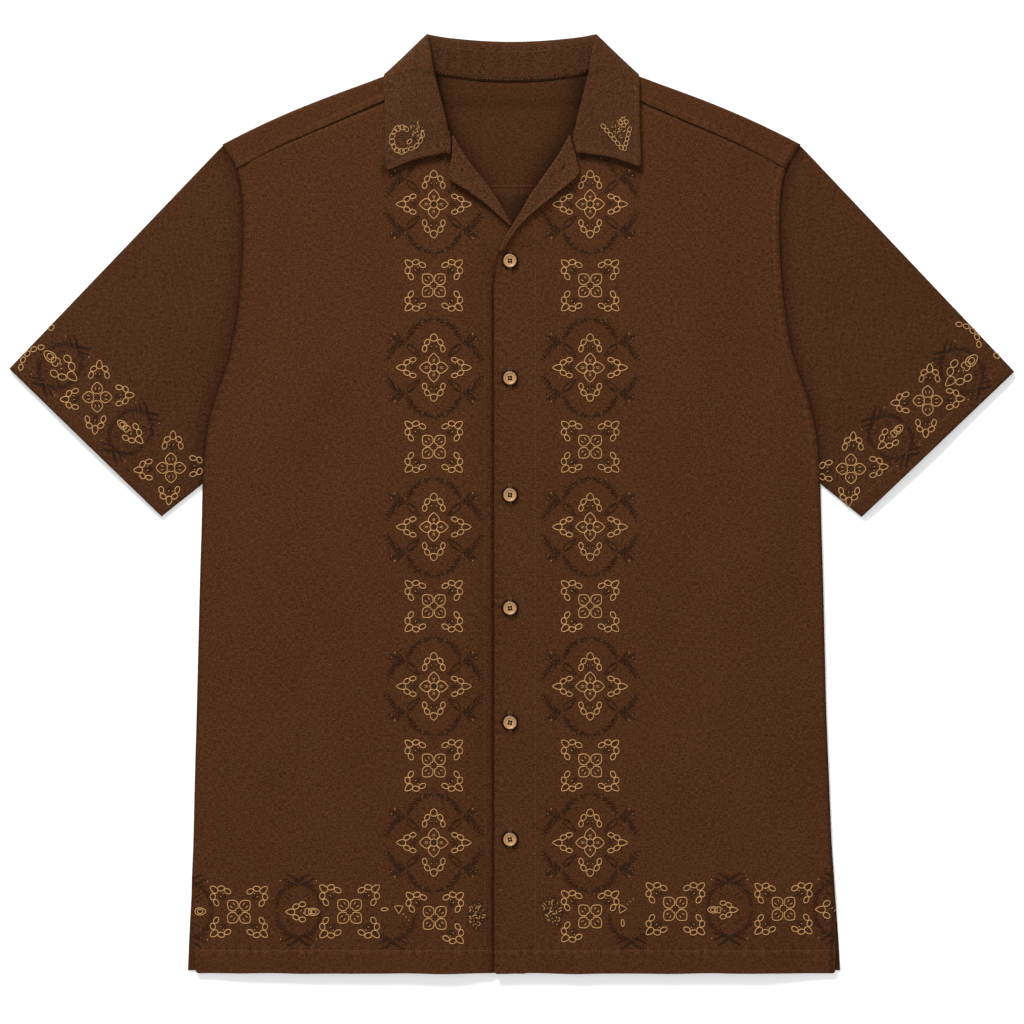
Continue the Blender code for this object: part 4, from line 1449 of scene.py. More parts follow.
def yoke_line(direction, rise):
    return [(direction * x, front_seam_y(x) + rise) for x in range(76, 237, 8)]


def sleeve_hem_line(corners, inset):
    top, low = corners
    span = math.dist(top, low)
    in_x = -(top.y - low.y) / span * inset
    in_y = (top.x - low.x) / span * inset
    flip = 1.0 if in_x * low.x < 0.0 else -1.0
    return straight(top.x + flip * in_x, top.y + flip * in_y, low.x + flip * in_x, low.y + flip * in_y)


top_right_side = drop_onto(FRONT_UNDER, YOKE)
top_left_side = drop_onto(FRONT_OVER, YOKE)
right_side_lines = [
    straight(-269.0, HEM_STITCH_Y, -16.5, HEM_STITCH_Y),
    straight(FACING_STITCH_LEFT, -380.0, FACING_STITCH_LEFT, 196.0),
    armhole_line(-1.0, SEAM_WIDTH),
    yoke_line(-1.0, SEAM_WIDTH),
    straight(-266.8, -381.0, -268.0, -337.0),
]
left_side_lines = [
    straight(-13.0, HEM_STITCH_Y, 276.0, HEM_STITCH_Y),
    straight(FACING_STITCH_RIGHT, -380.0, FACING_STITCH_RIGHT, 236.0),
    armhole_line(1.0, SEAM_WIDTH),
    yoke_line(1.0, SEAM_WIDTH),
    straight(272.5, -381.0, 271.5, -337.0),
]
sew("topstitch_right_front", run_lines(right_side_lines), top_right_side, STITCH, BROWN_THREAD)
sew("topstitch_left_front", run_lines(left_side_lines), top_left_side, STITCH, BROWN_THREAD)
sleeve_tops = drop_onto(SLEEVE_LEFT, SLEEVE_RIGHT)
sleeve_lines = [sleeve_hem_line(corners, SLEEVE_HEM) for corners in (LEFT_SLEEVE, RIGHT_SLEEVE)]
sew("topstitch_sleeves", run_lines(sleeve_lines), sleeve_tops, STITCH, BROWN_THREAD)

# %% [markdown]
# ## Topstitching on the collar and facings
# The wings and lapels have one line, nearly 5 mm inside the edge. Two more rows hold the stand, and a
# short row shows on the back yoke seam inside the neck. Each line is worked out from the same table
# as the cloth under it.

# %% Topstitching on the collar and facings
def collar_line(inset, direction):
    """Inside the outer edge of one wing, up to where the fall turns behind the neck."""
    line = []
    last = (len(COLLAR_ROWS) - 1) * 4
    for step in range(6, last // 2) if direction < 0.0 else range(last // 2, last - 5):
        cut = Slice(*curve_through(COLLAR_ROWS, step / 4))
        span = math.dist((cut.fold_x, cut.fold_y), (cut.edge_x, cut.edge_y))
        share = 1.0 - inset / span
        spot = (mix(cut.fold_x, cut.edge_x, share), mix(cut.fold_y, cut.edge_y, share))
        if spot[1] < 362.0 and abs(spot[0]) > 98.0:
            line.append(spot)
    return line


def wing_line(cut, inset):
    """Inside the lower edge of one wing."""
    line = []
    for share in (0.08, 0.2, 0.35, 0.5, 0.65, 0.8, 0.915):
        x = mix(cut.fold_x, cut.edge_x, share)
        line.append((x, mix(cut.fold_y, cut.edge_y, share) + cut.arch * math.sin(math.pi * share) + inset))
    return line


def stand_line(share):
    line = []
    middle = (len(COLLAR_ROWS) - 1) / 2
    for step in range(-16, 17):
        cut = Slice(*curve_through(COLLAR_ROWS, middle + step / 4))
        line.append((mix(cut.neck_x, cut.fold_x, share), mix(cut.neck_y, cut.fold_y, share)))
    return line


def lapel_line(table, first, last, inset):
    line = []
    for step in range(first * 3, last * 3 + 1):
        turn = Turn(*curve_through(table, step / 3))
        span = math.dist((turn.roll_x, turn.roll_y), (turn.edge_x, turn.edge_y))
        if span > inset + 1.0:
            share = 1.0 - inset / span
            line.append((mix(turn.roll_x, turn.edge_x, share), mix(turn.roll_y, turn.edge_y, share)))
    return line


collar_top = drop_onto(COLLAR_PIECE)
lapel_tops = drop_onto(LAPEL_UNDER, LAPEL_OVER)
COLLAR_INSET = 4.7
LAPEL_INSET = 4.4
BACK_STITCH_RISE = 3.5
collar_lines = [
    collar_line(COLLAR_INSET, -1.0),
    collar_line(COLLAR_INSET, 1.0),
    wing_line(COLLAR_ROWS[0], COLLAR_INSET),
    wing_line(COLLAR_ROWS[-1], COLLAR_INSET),
    stand_line(0.72),
    stand_line(0.06),
]
lapel_lines = [lapel_line(UNDER_LAPEL, 2, 8, LAPEL_INSET), lapel_line(OVER_LAPEL, 2, 9, LAPEL_INSET)]
sew("topstitch_collar", run_lines(collar_lines), collar_top, 0.3, BROWN_THREAD)
sew("topstitch_facings", run_lines(lapel_lines, 2.6, 1.8), lapel_tops, STITCH, BROWN_THREAD)
inner_back = drop_onto(BACK_PANEL, YOKE)
inner_line = straight(-60.0, YOKE_SEAM_Y + BACK_STITCH_RISE, 60.0, YOKE_SEAM_Y + BACK_STITCH_RISE)
sew("topstitch_back_yoke", run_stitches(inner_line), inner_back, 0.32, BROWN_THREAD)

# %% [markdown]
# ## Embroidery
# Flowers stand in two columns beside the closing and in a band round the hem and sleeves. This is a
# fresh drawing of ordinary garden shapes: petals, chains of loops like buds, and feathery sprays of
# leaves. Each motif is drawn once in plan and repeated, then its thread is dropped onto the cloth.

# %% Shapes of the motifs
FOUR_WAYS = [(1.0, 1.0), (-1.0, 1.0), (1.0, -1.0), (-1.0, -1.0)]
LOOP_CORNERS = 12
GOLDEN_ANGLE = 2.399963


def turned(points, angle, x=0.0, y=0.0):
    turn = math.radians(angle)
    return [
        (x + px * math.cos(turn) - py * math.sin(turn), y + px * math.sin(turn) + py * math.cos(turn))
        for px, py in points
    ]


def oval(x, y, length, width, angle, point=0.0):
    """A closed loop of thread. point draws its far end out to a tip."""
    ring = []
    for step in range(LOOP_CORNERS):
        t = math.tau * step / LOOP_CORNERS
        taper = 1.0 - point * 0.4 * (1.0 + math.cos(t))
        ring.append((0.5 * length * math.cos(t), 0.5 * width * math.sin(t) * taper))
    return turned(ring, angle, x, y)


def ovals(*rows):
    """Loops from rows of x, y, length, width and angle, some with a point."""
    return [oval(*row) for row in rows]


POINTED = [
    (1.0, 0.0), (0.88, 0.15), (0.7, 0.31), (0.5, 0.39), (0.33, 0.36), (0.22, 0.25), (0.2, 0.1), (0.3, 0.0)
]
ROUNDED = [
    (1.0, 0.0), (0.95, 0.1), (0.85, 0.22), (0.7, 0.34), (0.55, 0.375), (0.4, 0.33), (0.28, 0.22),
    (0.21, 0.09), (0.27, 0.0),
]


def petal(length, angle, half=POINTED):
    """Two lobes near the centre, and its tip outside."""
    outline = half + [(x, -y) for x, y in reversed(half[1:-1])]
    return turned([(length * x, length * y) for x, y in outline], angle)


def stroke(x, y, length, angle):
    """A single stitch from a point."""
    return turned([(0.0, 0.0), (0.5 * length, 0.0), (length, 0.0)], angle, x, y)


def strokes(*rows):
    """Single stitches from rows of x, y, length and angle."""
    return [stroke(*row) for row in rows]


def curve_line(points, count):
    """A smooth bend through three points, start, bend and end."""
    start, bend, end = (Vector(point) for point in points)
    line = []
    for step in range(count + 1):
        t = step / count
        spot = start * (1.0 - t) ** 2 + bend * (2.0 * t * (1.0 - t)) + end * t * t
        line.append((spot.x, spot.y))
    return line


def spray(points, count, leaf, one_side=0):
    """A stem with leaf stitches along it, shorter towards its tip."""
    line = curve_line(points, count)
    strands = []
    for index, ((x0, y0), (x1, y1)) in enumerate(zip(line, line[1:])):
        angle = math.degrees(math.atan2(y1 - y0, x1 - x0))
        strands.append([(x0, y0), ((x0 + x1) / 2, (y0 + y1) / 2), (x1, y1)])
        reach = leaf * (1.0 - 0.35 * index / count)
        for side in (-1, 1):
            uneven_step = math.sin(5.3 * index + 2.0 * side + x0)
            size = reach * (1.0 + 0.35 * uneven_step) * (0.6 if side == -one_side else 1.0)
            strands.append(stroke(x1, y1, size, angle + side * (46.0 + 14.0 * uneven_step)))
            if side == one_side or not one_side:
                strands.append(stroke((x0 + x1) / 2, (y0 + y1) / 2, 0.75 * size, angle + side * 54.0))
    return strands


def four_ways(strands):
    return [[(sx * x, sy * y) for x, y in strand] for strand in strands for sx, sy in FOUR_WAYS]


def both_sides(strands, flip_x):
    """Each strand and its mirror image, left to right or top to bottom."""
    return strands + [[(-x, y) if flip_x else (x, -y) for x, y in strand] for strand in strands]


def hatch(width, height, count, length, seed):
    """Short stitches scattered over an oval, close together."""
    strands = []
    for index in range(count):
        reach = math.sqrt((index + 0.5) / count)
        around = GOLDEN_ANGLE * index + seed
        x = width * reach * math.cos(around)
        y = height * reach * math.sin(around)
        size = length * (0.7 + 0.5 * math.sin(7.0 * index))
        strands.append(stroke(x, y, size, 60.0 + 70.0 * math.sin(3.0 * index + seed)))
    return strands


print("corners of a petal", len(petal(1.0, 0.0)))

# %% [markdown]
# ## The motifs
# Each function draws one motif about its own middle, in pixels of the photo: gold outlines, dark
# stitches and single gold specks. The flowers and brackets mirror one quarter into four, as an
# embroidery program repeats one, and the small spots on the wings are drawn on their own.

# %% Flowers, wreaths and small spots
Motif = namedtuple("Motif", "gold dark specks")


def diamond_flower():
    """A four-petalled flower with an arch of buds at each side."""
    gold = [petal(14.5, angle) for angle in (0.0, 90.0, 180.0, 270.0)]
    upright = ovals((0.0, 30.0, 7.4, 8.6, 90.0, 0.45))
    upright += both_sides(ovals((6.6, 25.2, 6.6, 4.9, 125.0), (9.1, 18.8, 6.6, 4.6, 100.0)), True)
    level = ovals((32.6, 0.0, 9.6, 8.6, 0.0, 0.8))
    level += both_sides(ovals((26.8, 5.2, 6.8, 4.9, 150.0), (20.8, 7.8, 6.4, 4.4, 168.0)), False)
    gold += both_sides(upright, False) + both_sides(level, True)
    dark = four_ways(strokes((0.4, 0.4, 3.2, 45.0), (1.6, 0.2, 2.4, 80.0), (0.2, 1.6, 2.4, 10.0)))
    dark += four_ways(strokes((4.2, 17.0, 6.0, 105.0), (1.4, 16.0, 7.0, 85.0), (3.2, 22.0, 3.6, 120.0)))
    dark += four_ways(strokes((17.0, 3.2, 6.0, 8.0), (16.0, 0.8, 8.0, 4.0), (22.0, 2.6, 4.0, 20.0)))
    specks = four_ways(strokes((5.6, 0.4, 3.8, 8.0), (0.4, 5.4, 3.6, 82.0)))
    specks += four_ways(strokes((2.2, 20.4, 1.6, 60.0), (20.4, 3.8, 1.6, 20.0)))
    return Motif(gold, dark, specks)


def wreath():
    """Leafy sprays in a ring, with four leaf outlines pointing in."""
    ring = [spray([(27.0, 26.0), (25.0, 45.0), (2.5, 49.0)], 11, 6.0, 1)]
    ring.append(spray([(27.0, 25.0), (41.0, 28.0), (46.5, 9.0)], 9, 7.4, -1))
    ring.append(spray([(29.0, 26.0), (36.0, 31.0), (42.0, 30.0)], 4, 6.0))
    strands = [strand for part in ring for strand in part]
    strands += strokes((27.0, 26.0, 11.0, 224.0), (23.0, 21.0, 5.0, 190.0), (22.0, 24.0, 5.0, 255.0))
    strands += strokes((19.0, 17.0, 4.0, 235.0), (20.0, 14.5, 4.0, 210.0))
    outline = oval(20.2, 17.2, 17.0, 8.0, 222.0, 0.9)
    strands.append(outline + outline[:1])
    specks = four_ways(strokes((41.0, 28.0, 1.8, 30.0), (38.6, 33.0, 1.6, 70.0), (12.0, 45.6, 1.4, 150.0)))
    return Motif([], four_ways(strands), specks)


def leaf_ring():
    """A tall oval of leaves with a fan at its top and bottom, for the band round the hem and sleeves."""
    strands = spray([(1.0, 27.0), (21.0, 23.0), (21.0, 4.0)], 9, 6.2, 1)
    strands += spray([(1.0, 27.0), (3.0, 33.0), (11.0, 37.0)], 6, 4.6, 1)
    strands += spray([(1.0, 26.0), (10.0, 27.0), (15.0, 32.0)], 4, 3.8, 1)
    strands += strokes((7.0, 28.0, 5.0, 20.0), (12.0, 26.0, 4.4, 8.0))
    strands += strokes((12.0, 18.0, 9.0, 214.0), (13.0, 14.0, 6.0, 230.0))
    return Motif([], four_ways(strands), four_ways(strokes((18.0, 30.0, 1.5, 40.0))))


def bracket():
    """Five buds round a corner, with a leaf in dark thread behind them."""
    gold = ovals((25.0, 22.0, 9.0, 7.4, 41.0, 0.5), (17.9, 23.1, 7.0, 5.2, 165.0))
    gold += ovals((11.4, 20.4, 7.2, 4.8, 208.0))
    gold += ovals((26.2, 14.8, 6.6, 5.2, 282.0), (22.9, 8.8, 7.0, 4.8, 238.0))
    dark = strokes((12.2, 11.4, 10.5, 42.0), (13.0, 13.0, 6.4, 66.0), (13.8, 11.6, 6.4, 18.0))
    dark += strokes((16.4, 15.0, 4.0, 80.0), (17.2, 14.0, 4.0, 4.0))
    return gold, dark, strokes((15.0, 17.4, 1.8, 45.0), (17.6, 14.6, 1.6, 30.0))


def cross_flower(corners=FOUR_WAYS):
    """A four-petalled flower turned to the diagonals, with a bracket of buds at each corner."""
    gold = [petal(15.2, angle, ROUNDED) for angle in (45.0, 135.0, 225.0, 315.0)]
    dark = four_ways(strokes((0.6, 0.6, 3.4, 45.0), (1.0, 2.4, 2.0, 20.0), (2.4, 1.0, 2.0, 70.0)))
    specks = four_ways(strokes((4.2, 6.2, 3.4, 62.0), (6.2, 4.2, 3.4, 28.0)))
    buds, leaf, dots = bracket()
    for sx, sy in corners:
        for made, extra in ((gold, buds), (dark, leaf), (specks, dots)):
            made += [[(sx * x, sy * y) for x, y in strand] for strand in extra]
    return Motif(gold, dark, specks)


print("strands in a flower", len(diamond_flower().gold), "and in a wreath", len(wreath().dark))

# %% [markdown]
# ## Small spots
# Between the flowers of the bands lie smaller shapes: a pointed chain of buds, part of a ring of buds,
# a triangle and a worn patch. The wings have one spot each, an open ring of buds that runs into a
# spray, and two rows of buds that meet.

# %% Almonds, chains, patches and the spots on the wings
def almond():
    """A pointed chain of buds with a kite at its open end."""
    gold = ovals((-12.6, 0.0, 9.0, 8.4, 180.0, 0.8))
    gold += both_sides(ovals((-7.0, 5.4, 6.6, 5.0, 30.0), (-0.6, 7.6, 6.6, 5.0, 5.0)), False)
    gold += [petal(9.0, 0.0, POINTED), oval(10.8, 0.0, 11.0, 8.6, 0.0, 0.4), oval(10.4, 0.0, 5.6, 4.4, 0.0)]
    dark = both_sides(strokes((-8.0, 2.0, 6.0, 10.0), (-4.0, 3.6, 5.0, 20.0), (2.0, 2.0, 5.0, 40.0)), False)
    return Motif(gold, dark, strokes((-3.0, 0.6, 2.0, 30.0), (0.0, -2.0, 2.0, 60.0)))


def chain(count, radius, start, sweep):
    """Buds in a row along part of a circle."""
    gold = []
    dark = []
    for step in range(count):
        angle = start + sweep * step / (count - 1)
        x, y = turned([(radius, 0.0)], angle)[0]
        gold.append(oval(x, y, 6.4, 5.0, angle + 90.0, 0.2))
        dark.append(stroke(0.72 * x, 0.72 * y, 3.6, angle + 30.0))
    return Motif(gold, dark, [])


def patch():
    """A worn, densely stitched spot in both threads."""
    return Motif([], hatch(9.5, 14.0, 90, 5.0, 0.3), hatch(8.0, 12.5, 46, 3.2, 2.0))


def triangle():
    """A small triangle with a bud beside it and a few specks below."""
    corners = [(-4.5, 3.5), (0.0, 4.2), (4.5, 3.4), (2.4, -0.4), (0.2, -4.0), (-2.2, -0.4)]
    gold = [corners, oval(-14.0, 0.5, 7.0, 3.4, 4.0, 0.3)]
    specks = strokes((4.0, -5.0, 1.6, 40.0), (7.0, -8.0, 1.8, 80.0), (9.0, -10.5, 1.6, 20.0))
    return Motif(gold, strokes((-1.0, 2.0, 3.0, 280.0), (1.0, 2.4, 3.0, 260.0)), specks)


def crest():
    """A ring of tiny buds, open at one side, that runs on into a dense spray."""
    small = []
    for step in range(10):
        angle = 62.0 + 26.0 * step
        x, y = 9.6 * math.cos(math.radians(angle)) - 6.0, 12.0 * math.sin(math.radians(angle)) - 3.0
        small.append(oval(x, y, 6.6, 4.6 + (step % 3), angle + 70.0 + 20.0 * (step % 2), 0.4))
    tail = ((4.0, -12.0, 10.0), (9.0, -9.0, 50.0), (13.0, -4.0, 60.0), (15.0, 2.0, 95.0), (2.0, -5.0, 40.0))
    small += [oval(x, y, 6.0, 4.2, angle, 0.4) for x, y, angle in tail]
    specks = [turned(strand, 0.0, 9.0, 5.0) for strand in hatch(6.5, 8.0, 34, 3.2, 1.0)]
    dark = [turned(strand, 0.0, 8.0, 4.0) for strand in hatch(7.5, 9.0, 46, 4.0, 4.0)]
    dark += [turned(strand, 0.0, -5.0, -1.0) for strand in hatch(10.0, 9.0, 26, 3.4, 2.0)]
    return Motif(small, dark, specks)


def vee():
    """Two rows of tiny buds that meet, with a spray between them."""
    gold = [oval(-13.0 + 3.6 * step, 9.0 - 4.2 * step, 5.4, 4.0, -50.0, 0.2) for step in range(6)]
    gold += [oval(8.4 + 1.2 * step, -12.4 + 4.6 * step, 5.2, 4.0, 78.0, 0.2) for step in range(5)]
    gold += [turned(petal(5.4, angle), 0.0, 7.0, 13.0) for angle in (10.0, 100.0, 190.0, 280.0)]
    specks = [turned(strand, 0.0, 2.0, 4.0) for strand in hatch(6.0, 6.5, 22, 3.0, 1.0)]
    specks += [stroke(0.0 + 2.6 * step, 14.0 + 1.4 * step, 2.0, 30.0) for step in range(4)]
    dark = [turned(strand, 0.0, 1.0, 0.0) for strand in hatch(11.0, 10.0, 48, 3.8, 3.0)]
    return Motif(gold, dark, specks)


DIAMOND = diamond_flower()
WREATH = wreath()
RING = leaf_ring()
HALF_RING = Motif([], [strand for strand in RING.dark if strand[0][1] < 0.0], [])
CROSS = cross_flower()
CROSS_NO_LEFT = cross_flower([(1.0, 1.0), (-1.0, 1.0), (1.0, -1.0)])
CROSS_NO_RIGHT = cross_flower([(1.0, 1.0), (-1.0, 1.0), (-1.0, -1.0)])
ALMOND = almond()
CHAIN = chain(5, 22.0, 50.0, 80.0)
print("strands: flower", len(DIAMOND.gold), "wreath", len(WREATH.dark), "cross", len(CROSS.gold))

# %% [markdown]
# ## Placing the motifs
# The motifs are placed by the photo's columns and rows, which are turned into millimetres. Each gold
# outline lies on a wider dark strand, a painted shadow round it. In a few
# places of the bands the pattern is stitched over: a dense patch, a triangle or half a ring.

# %% Where the motifs go
Spot = namedtuple("Spot", "motif x y angle size", defaults=(0.0, 1.0))
RING_SIZE = 0.96
SLEEVE_RING_SIZE = 0.84
COLLAR_FINENESS = 0.78


def plan_point(column, row):
    """A place counted in columns and rows of the photo, in millimetres from the shirt's middle."""
    return (column - MIDDLE_COLUMN) * PIXEL, (MIDDLE_ROW - row) * PIXEL


def gather(spots, kind):
    """The strands of one kind of thread in all the motifs, in place."""
    strands = []
    for spot in spots:
        x, y = plan_point(spot.x, spot.y)
        turn = math.radians(spot.angle)
        for strand in getattr(spot.motif, kind):
            strands.append([
                (
                    x + spot.size * PIXEL * (px * math.cos(turn) - py * math.sin(turn)),
                    y + spot.size * PIXEL * (px * math.sin(turn) + py * math.cos(turn)),
                )
                for px, py in strand
            ])
    return strands


def eye(loop):
    """One dark stitch across the middle of a bud or petal."""
    middle_x = sum(x for x, y in loop) / len(loop)
    middle_y = sum(y for x, y in loop) / len(loop)
    tip_x, tip_y = loop[0]
    return [(mix(middle_x, tip_x, share), mix(middle_y, tip_y, share)) for share in (-0.4, 0.0, 0.4)]


def embroider(name, spots, top, fine=1.0):
    """Dark leaves, then each gold outline over a wider dark strand as its painted shadow, then single gold
    stitches.
    """
    gold = gather(spots, "gold")
    eyes = [eye(loop) for loop in gold]
    sew(name + "_leaves", gather(spots, "dark") + eyes, top, 0.34 * fine, DARK_THREAD)
    # A wider dark strand under each gold outline is painted shadow round it.
    sew(name + "_painted_shadow", gold, top, 0.72 * fine, DARK_THREAD, closed=True, lift=-0.35)
    sew(name + "_petals", gold, top, 0.35 * fine, GOLD_THREAD, closed=True, sides=1, lift=0.6)
    sew(name + "_specks", gather(spots, "specks"), top, 0.34 * fine, GOLD_THREAD)


FLOWER_ROWS = [205.0, 368.0, 527.0, 686.0, 842.0]
CROSS_ROWS = [286.0, 447.0, 606.0, 765.0]


print("millimetres at the first flower", [round(part, 1) for part in plan_point(434.0, FLOWER_ROWS[0])])

# %% [markdown]
# ## The embroidery on each piece
# A column of flowers and crosses goes down each front, and a band goes round the hem. The sleeves
# repeat the band at a slant, square to their own hems, with chains at the corners. Each turned facing
# has one small dark mark of painted shade, the shade of a short crease on one side and of a slit on the
# other.

# %% Bands, sleeves and wings
def place_spots(*rows):
    """Spots from rows of motif, column and row, some with an angle and a size."""
    return [Spot(*row) for row in rows]


def column_spots(x):
    spots = [Spot(motif, x, y) for y in FLOWER_ROWS for motif in (WREATH, DIAMOND)]
    return spots + [Spot(CROSS, x, y) for y in CROSS_ROWS]


right_spots = column_spots(434.0)
right_spots += place_spots(
    (CROSS, 239.5, 911.0),
    (CROSS, 350.0, 910.5, 0.0, 1.04),
    (CROSS_NO_LEFT, 435.0, 917.0),
    (patch(), 476.0, 915.0),
    (RING, 299.0, 909.0, 0.0, RING_SIZE),
    (ALMOND, 303.5, 911.0),
    (HALF_RING, 393.0, 912.0, 0.0, RING_SIZE),
    (triangle(), 399.0, 909.0),
    (RING, 190.0, 910.0, 0.0, RING_SIZE),
    (ALMOND, 190.0, 911.0),
)
left_spots = column_spots(590.0)
left_spots += place_spots(
    (CROSS_NO_RIGHT, 590.0, 915.5),
    (patch(), 552.0, 911.0, 20.0, 1.1),
    (CROSS, 675.0, 908.0, 0.0, 1.02),
    (CROSS, 783.0, 908.0),
    (RING, 729.0, 908.0, 0.0, RING_SIZE),
    (ALMOND, 722.0, 909.0, 180.0, 0.9),
    (HALF_RING, 631.0, 912.0, 0.0, RING_SIZE),
    (triangle(), 623.0, 908.0, 90.0),
    (RING, 836.0, 908.0, 0.0, RING_SIZE),
    (ALMOND, 834.0, 909.0, 0.0, 1.1),
)
embroider("embroidery_right_front", right_spots, drop_onto(FRONT_UNDER))
embroider("embroidery_left_front", left_spots, drop_onto(FRONT_OVER))

sleeve_spots = []
for x, y in ((98.0, 397.5), (171.5, 468.0), (927.0, 401.0), (850.5, 469.0)):
    sleeve_spots.append(Spot(CROSS, x, y, 45.0, 0.98))
bands = ((61.0, 366.0, 138.0, 1.3), (131.0, 432.0, 138.0, 1.0))
bands += ((961.0, 370.5, 44.0, 1.3), (890.0, 437.0, 44.0, 1.0))
for x, y, angle, size in bands:
    sleeve_spots += [Spot(RING, x, y, angle, SLEEVE_RING_SIZE), Spot(ALMOND, x, y, angle, size)]
for x, y, angle in ((52.0, 328.0, 225.0), (28.0, 354.0, 45.0), (972.0, 331.0, 315.0), (996.0, 356.0, 135.0)):
    shift = turned([(22.0, 0.0)], angle + 90.0)[0]
    sleeve_spots.append(Spot(CHAIN, x - shift[0], y + shift[1], angle))
embroider("embroidery_sleeves", sleeve_spots, sleeve_tops)
collar_spots = place_spots((crest(), 408.0, 138.0), (vee(), 616.0, 137.0))
embroider("embroidery_collar", collar_spots, collar_top, COLLAR_FINENESS)
mark_x, mark_y = plan_point(462.5, 171.0)
hole_x, hole_y = plan_point(563.0, 168.0)
# Dark marks of painted shade: the shade of a short crease on one facing and of a slit on the other.
crease_shade_mark = [(0.0, -1.7), (0.0, 0.0), (0.0, 1.7)]
slit_shade_mark = [(0.0, -2.6), (0.0, 0.0), (0.0, 2.6)]
marks = [turned(crease_shade_mark, 20.0, mark_x + shift, mark_y) for shift in (-0.5, 0.5)]
marks += [turned(slit_shade_mark, -32.0, hole_x + shift, hole_y) for shift in (-0.6, 0.0, 0.6)]
sew("facing_shade_marks", marks, lapel_tops, 0.42, DARK_THREAD)

# %% [markdown]
# ## Buttons and buttonholes
# The buttons are turned from coconut shell: a rounded rim, a groove and a shallow dish with four
# holes. They sit just above the cloth, over upright buttonholes whose satin ends show above
# and below each button.

# %% Coconut shell
BUTTON_THICKNESS = 2.4
HOLE_RADIUS = 0.98
HOLE_OFFSET = 1.12
TURNED_STEPS = 48
HOLE_STEPS = 14
RADIANS_A_METRE = 5200.0
DARK_RIM_START = 5.3
DARK_RIM_END = 5.65
SHELL_DARK = (0.20, 0.09, 0.027)
SHELL_LIGHT = (0.43, 0.222, 0.078)


def shell_material():
    """Rings of the turning in two browns, darker towards the rim."""
    material, tree, shader = new_material("coconut_shell_turned", 0.42)
    face = add_node(tree, "UVMap", "UV", {}, uv_map="face")
    radius = add_node(tree, "VectorMath", "Value", {0: face}, operation="LENGTH")
    grain = add_noise(tree, face, (500.0, 1600.0, 1.0), 4.0)
    rings = add_math(tree, "MULTIPLY", radius, RADIANS_A_METRE)
    rings = add_math(tree, "ADD", rings, add_math(tree, "MULTIPLY", grain, 5.0))
    rings = add_math(tree, "SINE", rings, 0.0)
    grain = add_math(tree, "MULTIPLY", grain, 0.55)
    shade = add_math(tree, "ADD", add_math(tree, "MULTIPLY", rings, 0.06), grain)
    ramp = add_ramp(tree, shade, SHELL_DARK, SHELL_LIGHT, 0.12, 0.42)
    # The shell darkens towards its rim.
    dark_rim = add_range(tree, radius, DARK_RIM_START * MM, DARK_RIM_END * MM, 1.0, 0.08)
    finish_shader(tree, shader, add_scale(tree, ramp, dark_rim), shade, 0.3, 0.2)
    return material


COCONUT = shell_material()
print("shell material", COCONUT.name)

# %% [markdown]
# ## The shape of a button
# A lathe tool's path is turned once round the middle: the flat back, the round rim, the groove and the
# dish. Four holes are drilled through it, and the same button is then set down six times, each turned
# a little, at the height where it rests on the upper front.

# %% Turned buttons
RIM = BUTTON_RADIUS
TALL = BUTTON_THICKNESS
BUTTON_PROFILE = [
    (0.0, 0.0), (0.5 * RIM, 0.0), (0.8 * RIM, 0.02 * TALL), (0.9 * RIM, 0.12 * TALL),
    (0.985 * RIM, 0.34 * TALL), (RIM, 0.52 * TALL), (0.985 * RIM, 0.72 * TALL), (0.93 * RIM, 0.9 * TALL),
    (0.86 * RIM, 0.985 * TALL), (0.8 * RIM, TALL), (0.74 * RIM, 0.96 * TALL), (0.68 * RIM, 0.82 * TALL),
    (0.63 * RIM, 0.7 * TALL), (0.55 * RIM, 0.66 * TALL), (0.3 * RIM, 0.63 * TALL), (0.0, 0.62 * TALL),
]


def make_button():
    """One button at the origin, with its holes drilled."""
    shape = bmesh.new()
    verts = [shape.verts.new((x * MM, 0.0, z * MM)) for x, z in BUTTON_PROFILE]
    edges = [shape.edges.new(pair) for pair in zip(verts, verts[1:])]
    bmesh.ops.spin(
        shape, geom=verts + edges, cent=(0.0, 0.0, 0.0), axis=(0.0, 0.0, 1.0), angle=math.tau,
        steps=TURNED_STEPS, use_merge=True,
    )
    bmesh.ops.remove_doubles(shape, verts=shape.verts, dist=0.005 * MM)
    bmesh.ops.recalc_face_normals(shape, faces=shape.faces)
    layer = shape.loops.layers.uv.new("face")
    for corner in (loop for face in shape.faces for loop in face.loops):
        corner[layer].uv = corner.vert.co.xy
    drills = bmesh.new()
    for across in (-HOLE_OFFSET, HOLE_OFFSET):
        for along in (-HOLE_OFFSET, HOLE_OFFSET):
            bmesh.ops.create_cone(
                drills, cap_ends=True, segments=HOLE_STEPS, radius1=HOLE_RADIUS * MM,
                radius2=HOLE_RADIUS * MM, depth=3 * TALL * MM,
                matrix=Matrix.Translation(Vector((across, along, 0.0)) * MM),
            )
    blank = add_object("button_blank", mesh_from("button_turned", shape))
    drill = add_object("button_drill", mesh_from("button_drills", drills))
    holes = blank.modifiers.new("holes", "BOOLEAN")
    holes.operation = "DIFFERENCE"
    holes.solver = "EXACT"
    holes.object = drill
    bpy.context.view_layer.update()
    graph = bpy.context.evaluated_depsgraph_get()
    drilled = bpy.data.meshes.new_from_object(blank.evaluated_get(graph))
    for part in (blank, drill):
        bpy.data.objects.remove(part, do_unlink=True)
    drilled.shade_smooth()
    drilled.set_sharp_from_angle(angle=math.radians(50.0))
    drilled.materials.clear()
    drilled.materials.append(COCONUT)
    return drilled


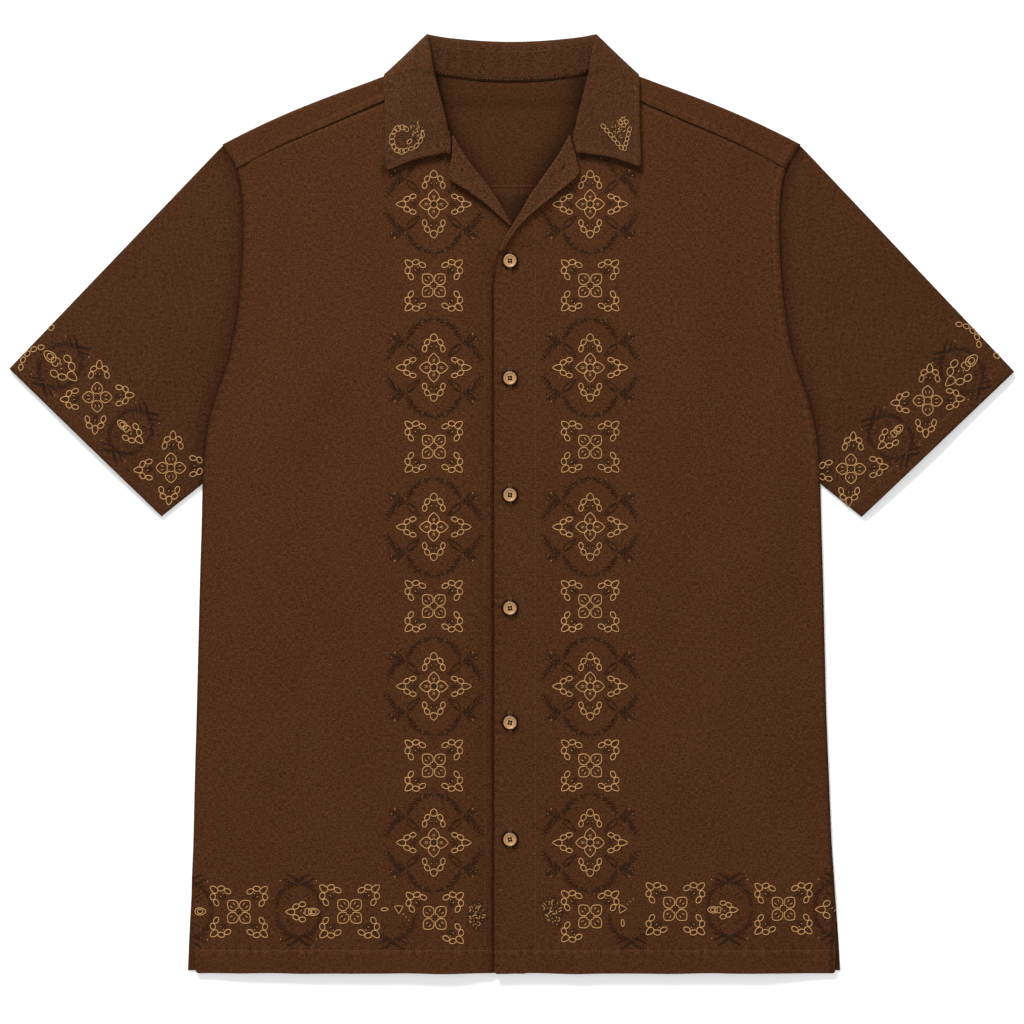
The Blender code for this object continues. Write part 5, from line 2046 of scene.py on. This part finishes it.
BUTTON_MESH = make_button()
SEATS = []
for index, y in enumerate(BUTTON_ROWS):
    seat = loft(BUTTON_X, y) + OVERLAP_RISE + SOLID_CLOTH / 2 + SEAM_GAP
    SEATS.append((y, seat))
    mesh = BUTTON_MESH.copy()
    mesh.transform(Matrix.Rotation(0.35 * math.sin(3.0 * index), 4, "Z"))
    mesh.transform(Matrix.Translation((Vector((BUTTON_X, y, seat)) - BOX_MIDDLE) * MM))
    button = add_object(f"button_turned_{index + 1}", mesh)
    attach(button, "root")
    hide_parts(f"button_{index + 1}")
print("button faces", len(BUTTON_MESH.polygons), "seat heights", [round(seat, 2) for y, seat in SEATS])

# %% [markdown]
# ## Button thread and buttonholes
# A square of dark thread goes through the four holes of each button, with a small light knot in the
# middle. The buttonhole under it is edged with short stitches across, closed by a bar at each end and
# slit down the middle, so both of its ends show beyond the button. The slit is a dark strand of
# painted shade.

# %% Thread through the buttons, and the buttonholes
HOLE_STITCH_STEPS = 24
HOLE_STITCH_PITCH = 0.36
BAR_FROM_MIDDLE = 8.9
BAR_SPREAD = 0.3
SLIT_HALF = 8.4
STITCH_BOW = 0.05


def across(y, left, middle, right, bow=0.0):
    """A strand across the buttons' line, through three distances from it."""
    return [(BUTTON_X + left, y), (BUTTON_X + middle, y + bow), (BUTTON_X + right, y)]


button_strands = []
knot_strands = []
hole_strands = []
slit_shade_strands = []
for y, seat in SEATS:
    for offset in (-HOLE_OFFSET, HOLE_OFFSET):
        button_strands.append(across(y + offset, -HOLE_OFFSET, 0.0, HOLE_OFFSET))
        upright = [(BUTTON_X + offset, y + part) for part in (-HOLE_OFFSET, 0.0, HOLE_OFFSET)]
        button_strands.append(upright)
    knot_strands.append(across(y, -0.35, 0.0, 0.35, 0.1))
    for step in range(-HOLE_STITCH_STEPS, HOLE_STITCH_STEPS + 1):
        along = y + step * HOLE_STITCH_PITCH
        hole_strands.append(across(along, -1.5, -0.95, -0.35, STITCH_BOW))
        hole_strands.append(across(along, 0.35, 0.95, 1.5, STITCH_BOW))
    for end in (-BAR_FROM_MIDDLE, BAR_FROM_MIDDLE):
        for shift in (-BAR_SPREAD, BAR_SPREAD):
            hole_strands.append(across(y + end + shift, -1.3, 0.0, 1.3, STITCH_BOW))
        # Dark thread along the slit and across its ends is painted shade in the cut.
        slit_shade_strands.append(across(y + 0.91 * end, -0.6, 0.0, 0.6, -0.01 * end))
    slit_shade_strands.append([(BUTTON_X, y + part) for part in (-SLIT_HALF, 0.0, SLIT_HALF)])


def dish_top(x, y):
    """The bottom of the button's dish."""
    seat = min(SEATS, key=lambda item: abs(item[0] - y))[1]
    return seat + 0.66 * TALL


sew("button_thread", button_strands, dish_top, 0.42, DARK_THREAD, sides=1, sink=1.0)
sew("button_knots", knot_strands, dish_top, 0.5, GOLD_THREAD, lift=0.7)
over_top = drop_onto(FRONT_OVER)
sew("buttonholes", hole_strands, over_top, 0.26, BROWN_THREAD, sink=0.2)
# The slits are dark strands of painted shade.
sew("buttonhole_slit_shade", slit_shade_strands, over_top, 0.5, DARK_THREAD, lift=0.6)
